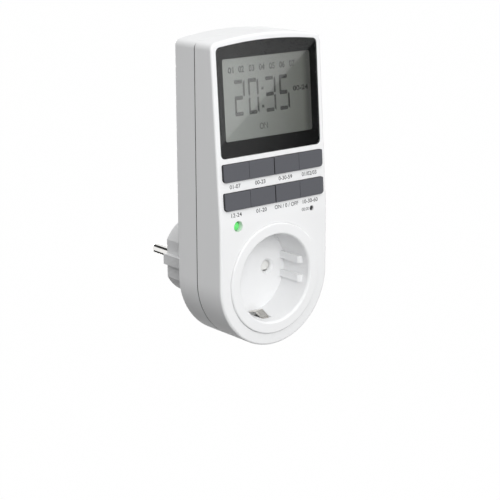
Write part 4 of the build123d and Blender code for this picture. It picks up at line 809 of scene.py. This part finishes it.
SEAL_TOP = 18.8
SEAL_EDGES = ((-25.9, -24.6), (23.2, 25.9))
seals = [box_outline(inner, outer, -SEAL_TOP, SEAL_TOP) for inner, outer in SEAL_EDGES]
plates("display_seal", seals, seal_grey)

# ------------------------------------------------------------------ bezel and lens
# A dark surround with a bevelled window, and the smoked clear lens welded over it, flush with
# the face. A hair of air lies between them, so that no two faces share one place.

LENS_IOR = 1.49
LENS_MATT = 0.004
HAZE_SCALE = 900
HAZE_SHADE = 0.98
HAZE_MATT = 0.008
BEZEL_SHEEN = 0.05
LENS_AIR = 0.02 * MM


def clear_plastic(name, tint):
    """Polished clear plastic. Lamps shine through it to what lies behind."""
    graph = Graph(bpy.data.materials.new(name))
    haze = graph.noise(graph.place(), HAZE_SCALE, 4)
    sockets = {
        "Base Color": haze.mix(tone(tint, HAZE_SHADE), tone(tint)),
        "Roughness": LENS_MATT + HAZE_MATT * haze,
        "Transmission Weight": 1.0,
        "IOR": LENS_IOR,
    }
    glass = graph.node("BsdfPrincipled", sockets=sockets)
    through = graph.node("BsdfTransparent", sockets={"Color": tone(tint)})
    shadow = graph.node("LightPath", output="Is Shadow Ray")
    return graph.close(graph.node("MixShader", sockets={0: shadow, 1: glass, 2: through}))


lens_smoke = clear_plastic("lens_smoke", (0.93, 0.935, 0.93))
bezel_grey = moulded("bezel_grey", (0.004, 0.0042, 0.0045), 0.4, sheen=BEZEL_SHEEN)
dress(bezel_grey, "display_bezel")

lens_low, lens_high = on_face("display_lens")
lens_mesh = nodes["display_lens"].data.copy()
for v in lens_mesh.vertices:
    sunk = lens_low[2] + LENS_AIR + INWARD.dot(v.co)
    if sunk > 0:
        v.co -= INWARD * sunk
lens = finished("lens_clear", lens_mesh, lens_smoke)
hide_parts("display_lens")

# What the lens mirrors: a dark room on the right, paler to the left, and above a slanting line
# the end of a soft box. It is one card, ahead of the lens, that only mirrored rays see.
CARD_AHEAD = 400 * MM
CARD_MARGIN = 14 * MM
CARD_DARK = 0.01
CARD_FADE = 0.37
VEIL = 0.38
VEIL_SLOPE = 0.715
VEIL_HEIGHT = 1.6 * MM
VEIL_BLUR = 0.5 * MM
foot = (ACROSS.dot(EYE), UP_FACE.dot(EYE))
spread = 1 + CARD_AHEAD / (-INWARD.dot(EYE) - lens_high[2])


def on_card(across, up):
    """The place on the card that the camera sees mirrored at a place on the lens."""
    along = foot[0] + (across - foot[0]) * spread
    rise = foot[1] + (up - foot[1]) * spread
    return ACROSS * along + UP_FACE * rise - INWARD * (lens_high[2] + CARD_AHEAD)


left, right = lens_low[0] - CARD_MARGIN, lens_high[0] + CARD_MARGIN
low, high = lens_low[1] - CARD_MARGIN, lens_high[1] + CARD_MARGIN
card = sheet("mirrored_card", [on_card(*c) for c in box_outline(left, right, low, high)])
graph = Graph(bpy.data.materials.new("card_light"))
place = graph.place()
across = foot[0] + (place.along(ACROSS) - foot[0]) / spread
up = foot[1] + (place.along(UP_FACE) - foot[1]) / spread
lens_middle = (lens_low[1] + lens_high[1]) / 2
veil_rise = up - lens_middle - VEIL_SLOPE * across
veil = veil_rise.ramp(VEIL_HEIGHT - VEIL_BLUR, VEIL_HEIGHT + VEIL_BLUR)
strength = CARD_DARK + CARD_FADE * across.ramp(lens_high[0], lens_low[0]) + VEIL * veil
light = graph.node("Emission", sockets={"Color": grey(1), "Strength": strength})
card.data.materials.append(graph.close(light))
hide_from(card, "camera", "diffuse", "shadow")

# ------------------------------------------------------------------ legends on the face
# Small grey numbers under each key and below the reset hole. They are pad printed on the
# front shell.

LENS_ABOVE_START = 28.2 * MM
FACE_START = lens_low[1] - LENS_ABOVE_START
LEGEND_HEIGHT = 1.75
LEGEND_SHIFT = -0.35
LEGEND_WEIGHT = 0.012
LEGEND_LEVELS = {"upper": 16.2, "lower": 4.1}
KEY_MIDDLES = (-20.7, -7.03, 7.03, 20.7)
LEGENDS = {
    "upper": (("01-07", 5.8), ("00-23", 5.7), ("0-30-59", 7.6), ("01/02/03", 8.5)),
    "lower": (("12-24", 5.6), ("01-20", 5.8), ("ON / 0 / OFF", 13.4), ("10-30-60", 8.7)),
}
RESET_MIDDLE = (17.3, 0.75)
RESET_SIZE = (4.05, 1.4)
INK_GRAIN = 0.1 * MM
ink_grey = moulded("ink_grey", (0.075, 0.075, 0.08), 0.6, grain=INK_GRAIN)


def on_front(across, up):
    """A place on the face, measured in millimetres from its middle and from its lower end."""
    return ACROSS * across * MM + UP_FACE * (FACE_START + up * MM) - INWARD * lens_high[2]


for row, words in LEGENDS.items():
    for place, (text, width) in enumerate(words):
        name, size = f"legend_{row}_{place + 1}", (width, LEGEND_HEIGHT)
        middle = on_front(KEY_MIDDLES[place] + LEGEND_SHIFT, LEGEND_LEVELS[row])
        lettering(name, text, middle, size, ink_grey, LEGEND_WEIGHT)
lettering("legend_reset", "00:00", on_front(*RESET_MIDDLE), RESET_SIZE, ink_grey)

# ------------------------------------------------------------------ status lamp
# A small lamp of green tinted plastic on the control board. It ends a little below the face,
# in its own hole.

LAMP_CLOUD = 900
LAMP_CLOUD_MATT = 0.05
LAMP_MATT = 0.25
LAMP_SHADE = 0.92
LAMP_GLOW = 0.42
LAMP_COLOUR = (0.105, 0.58, 0.14)

graph = Graph(bpy.data.materials.new("lamp_green"))
cloud = graph.noise(graph.place(), LAMP_CLOUD)
tint = cloud.mix(tone(LAMP_COLOUR, LAMP_SHADE), tone(LAMP_COLOUR))
sockets = {
    "Base Color": tint,
    "Roughness": LAMP_MATT + LAMP_CLOUD_MATT * cloud,
    "Emission Color": tint,
    "Emission Strength": LAMP_GLOW,
}
lamp_green = graph.close(graph.node("BsdfPrincipled", sockets=sockets))
dress(lamp_green, "status_lamp")

# ------------------------------------------------------------------ screws
# Zinc-plated steel screws hold the two shells together, the contact carrier on the rear shell,
# and each board on its posts.

screw_steel = plated("screw_steel", (0.62, 0.62, 0.6), 0.28)
dress(screw_steel, "case_screws", "carrier_screws", "power_board_screws", "control_board_screws")
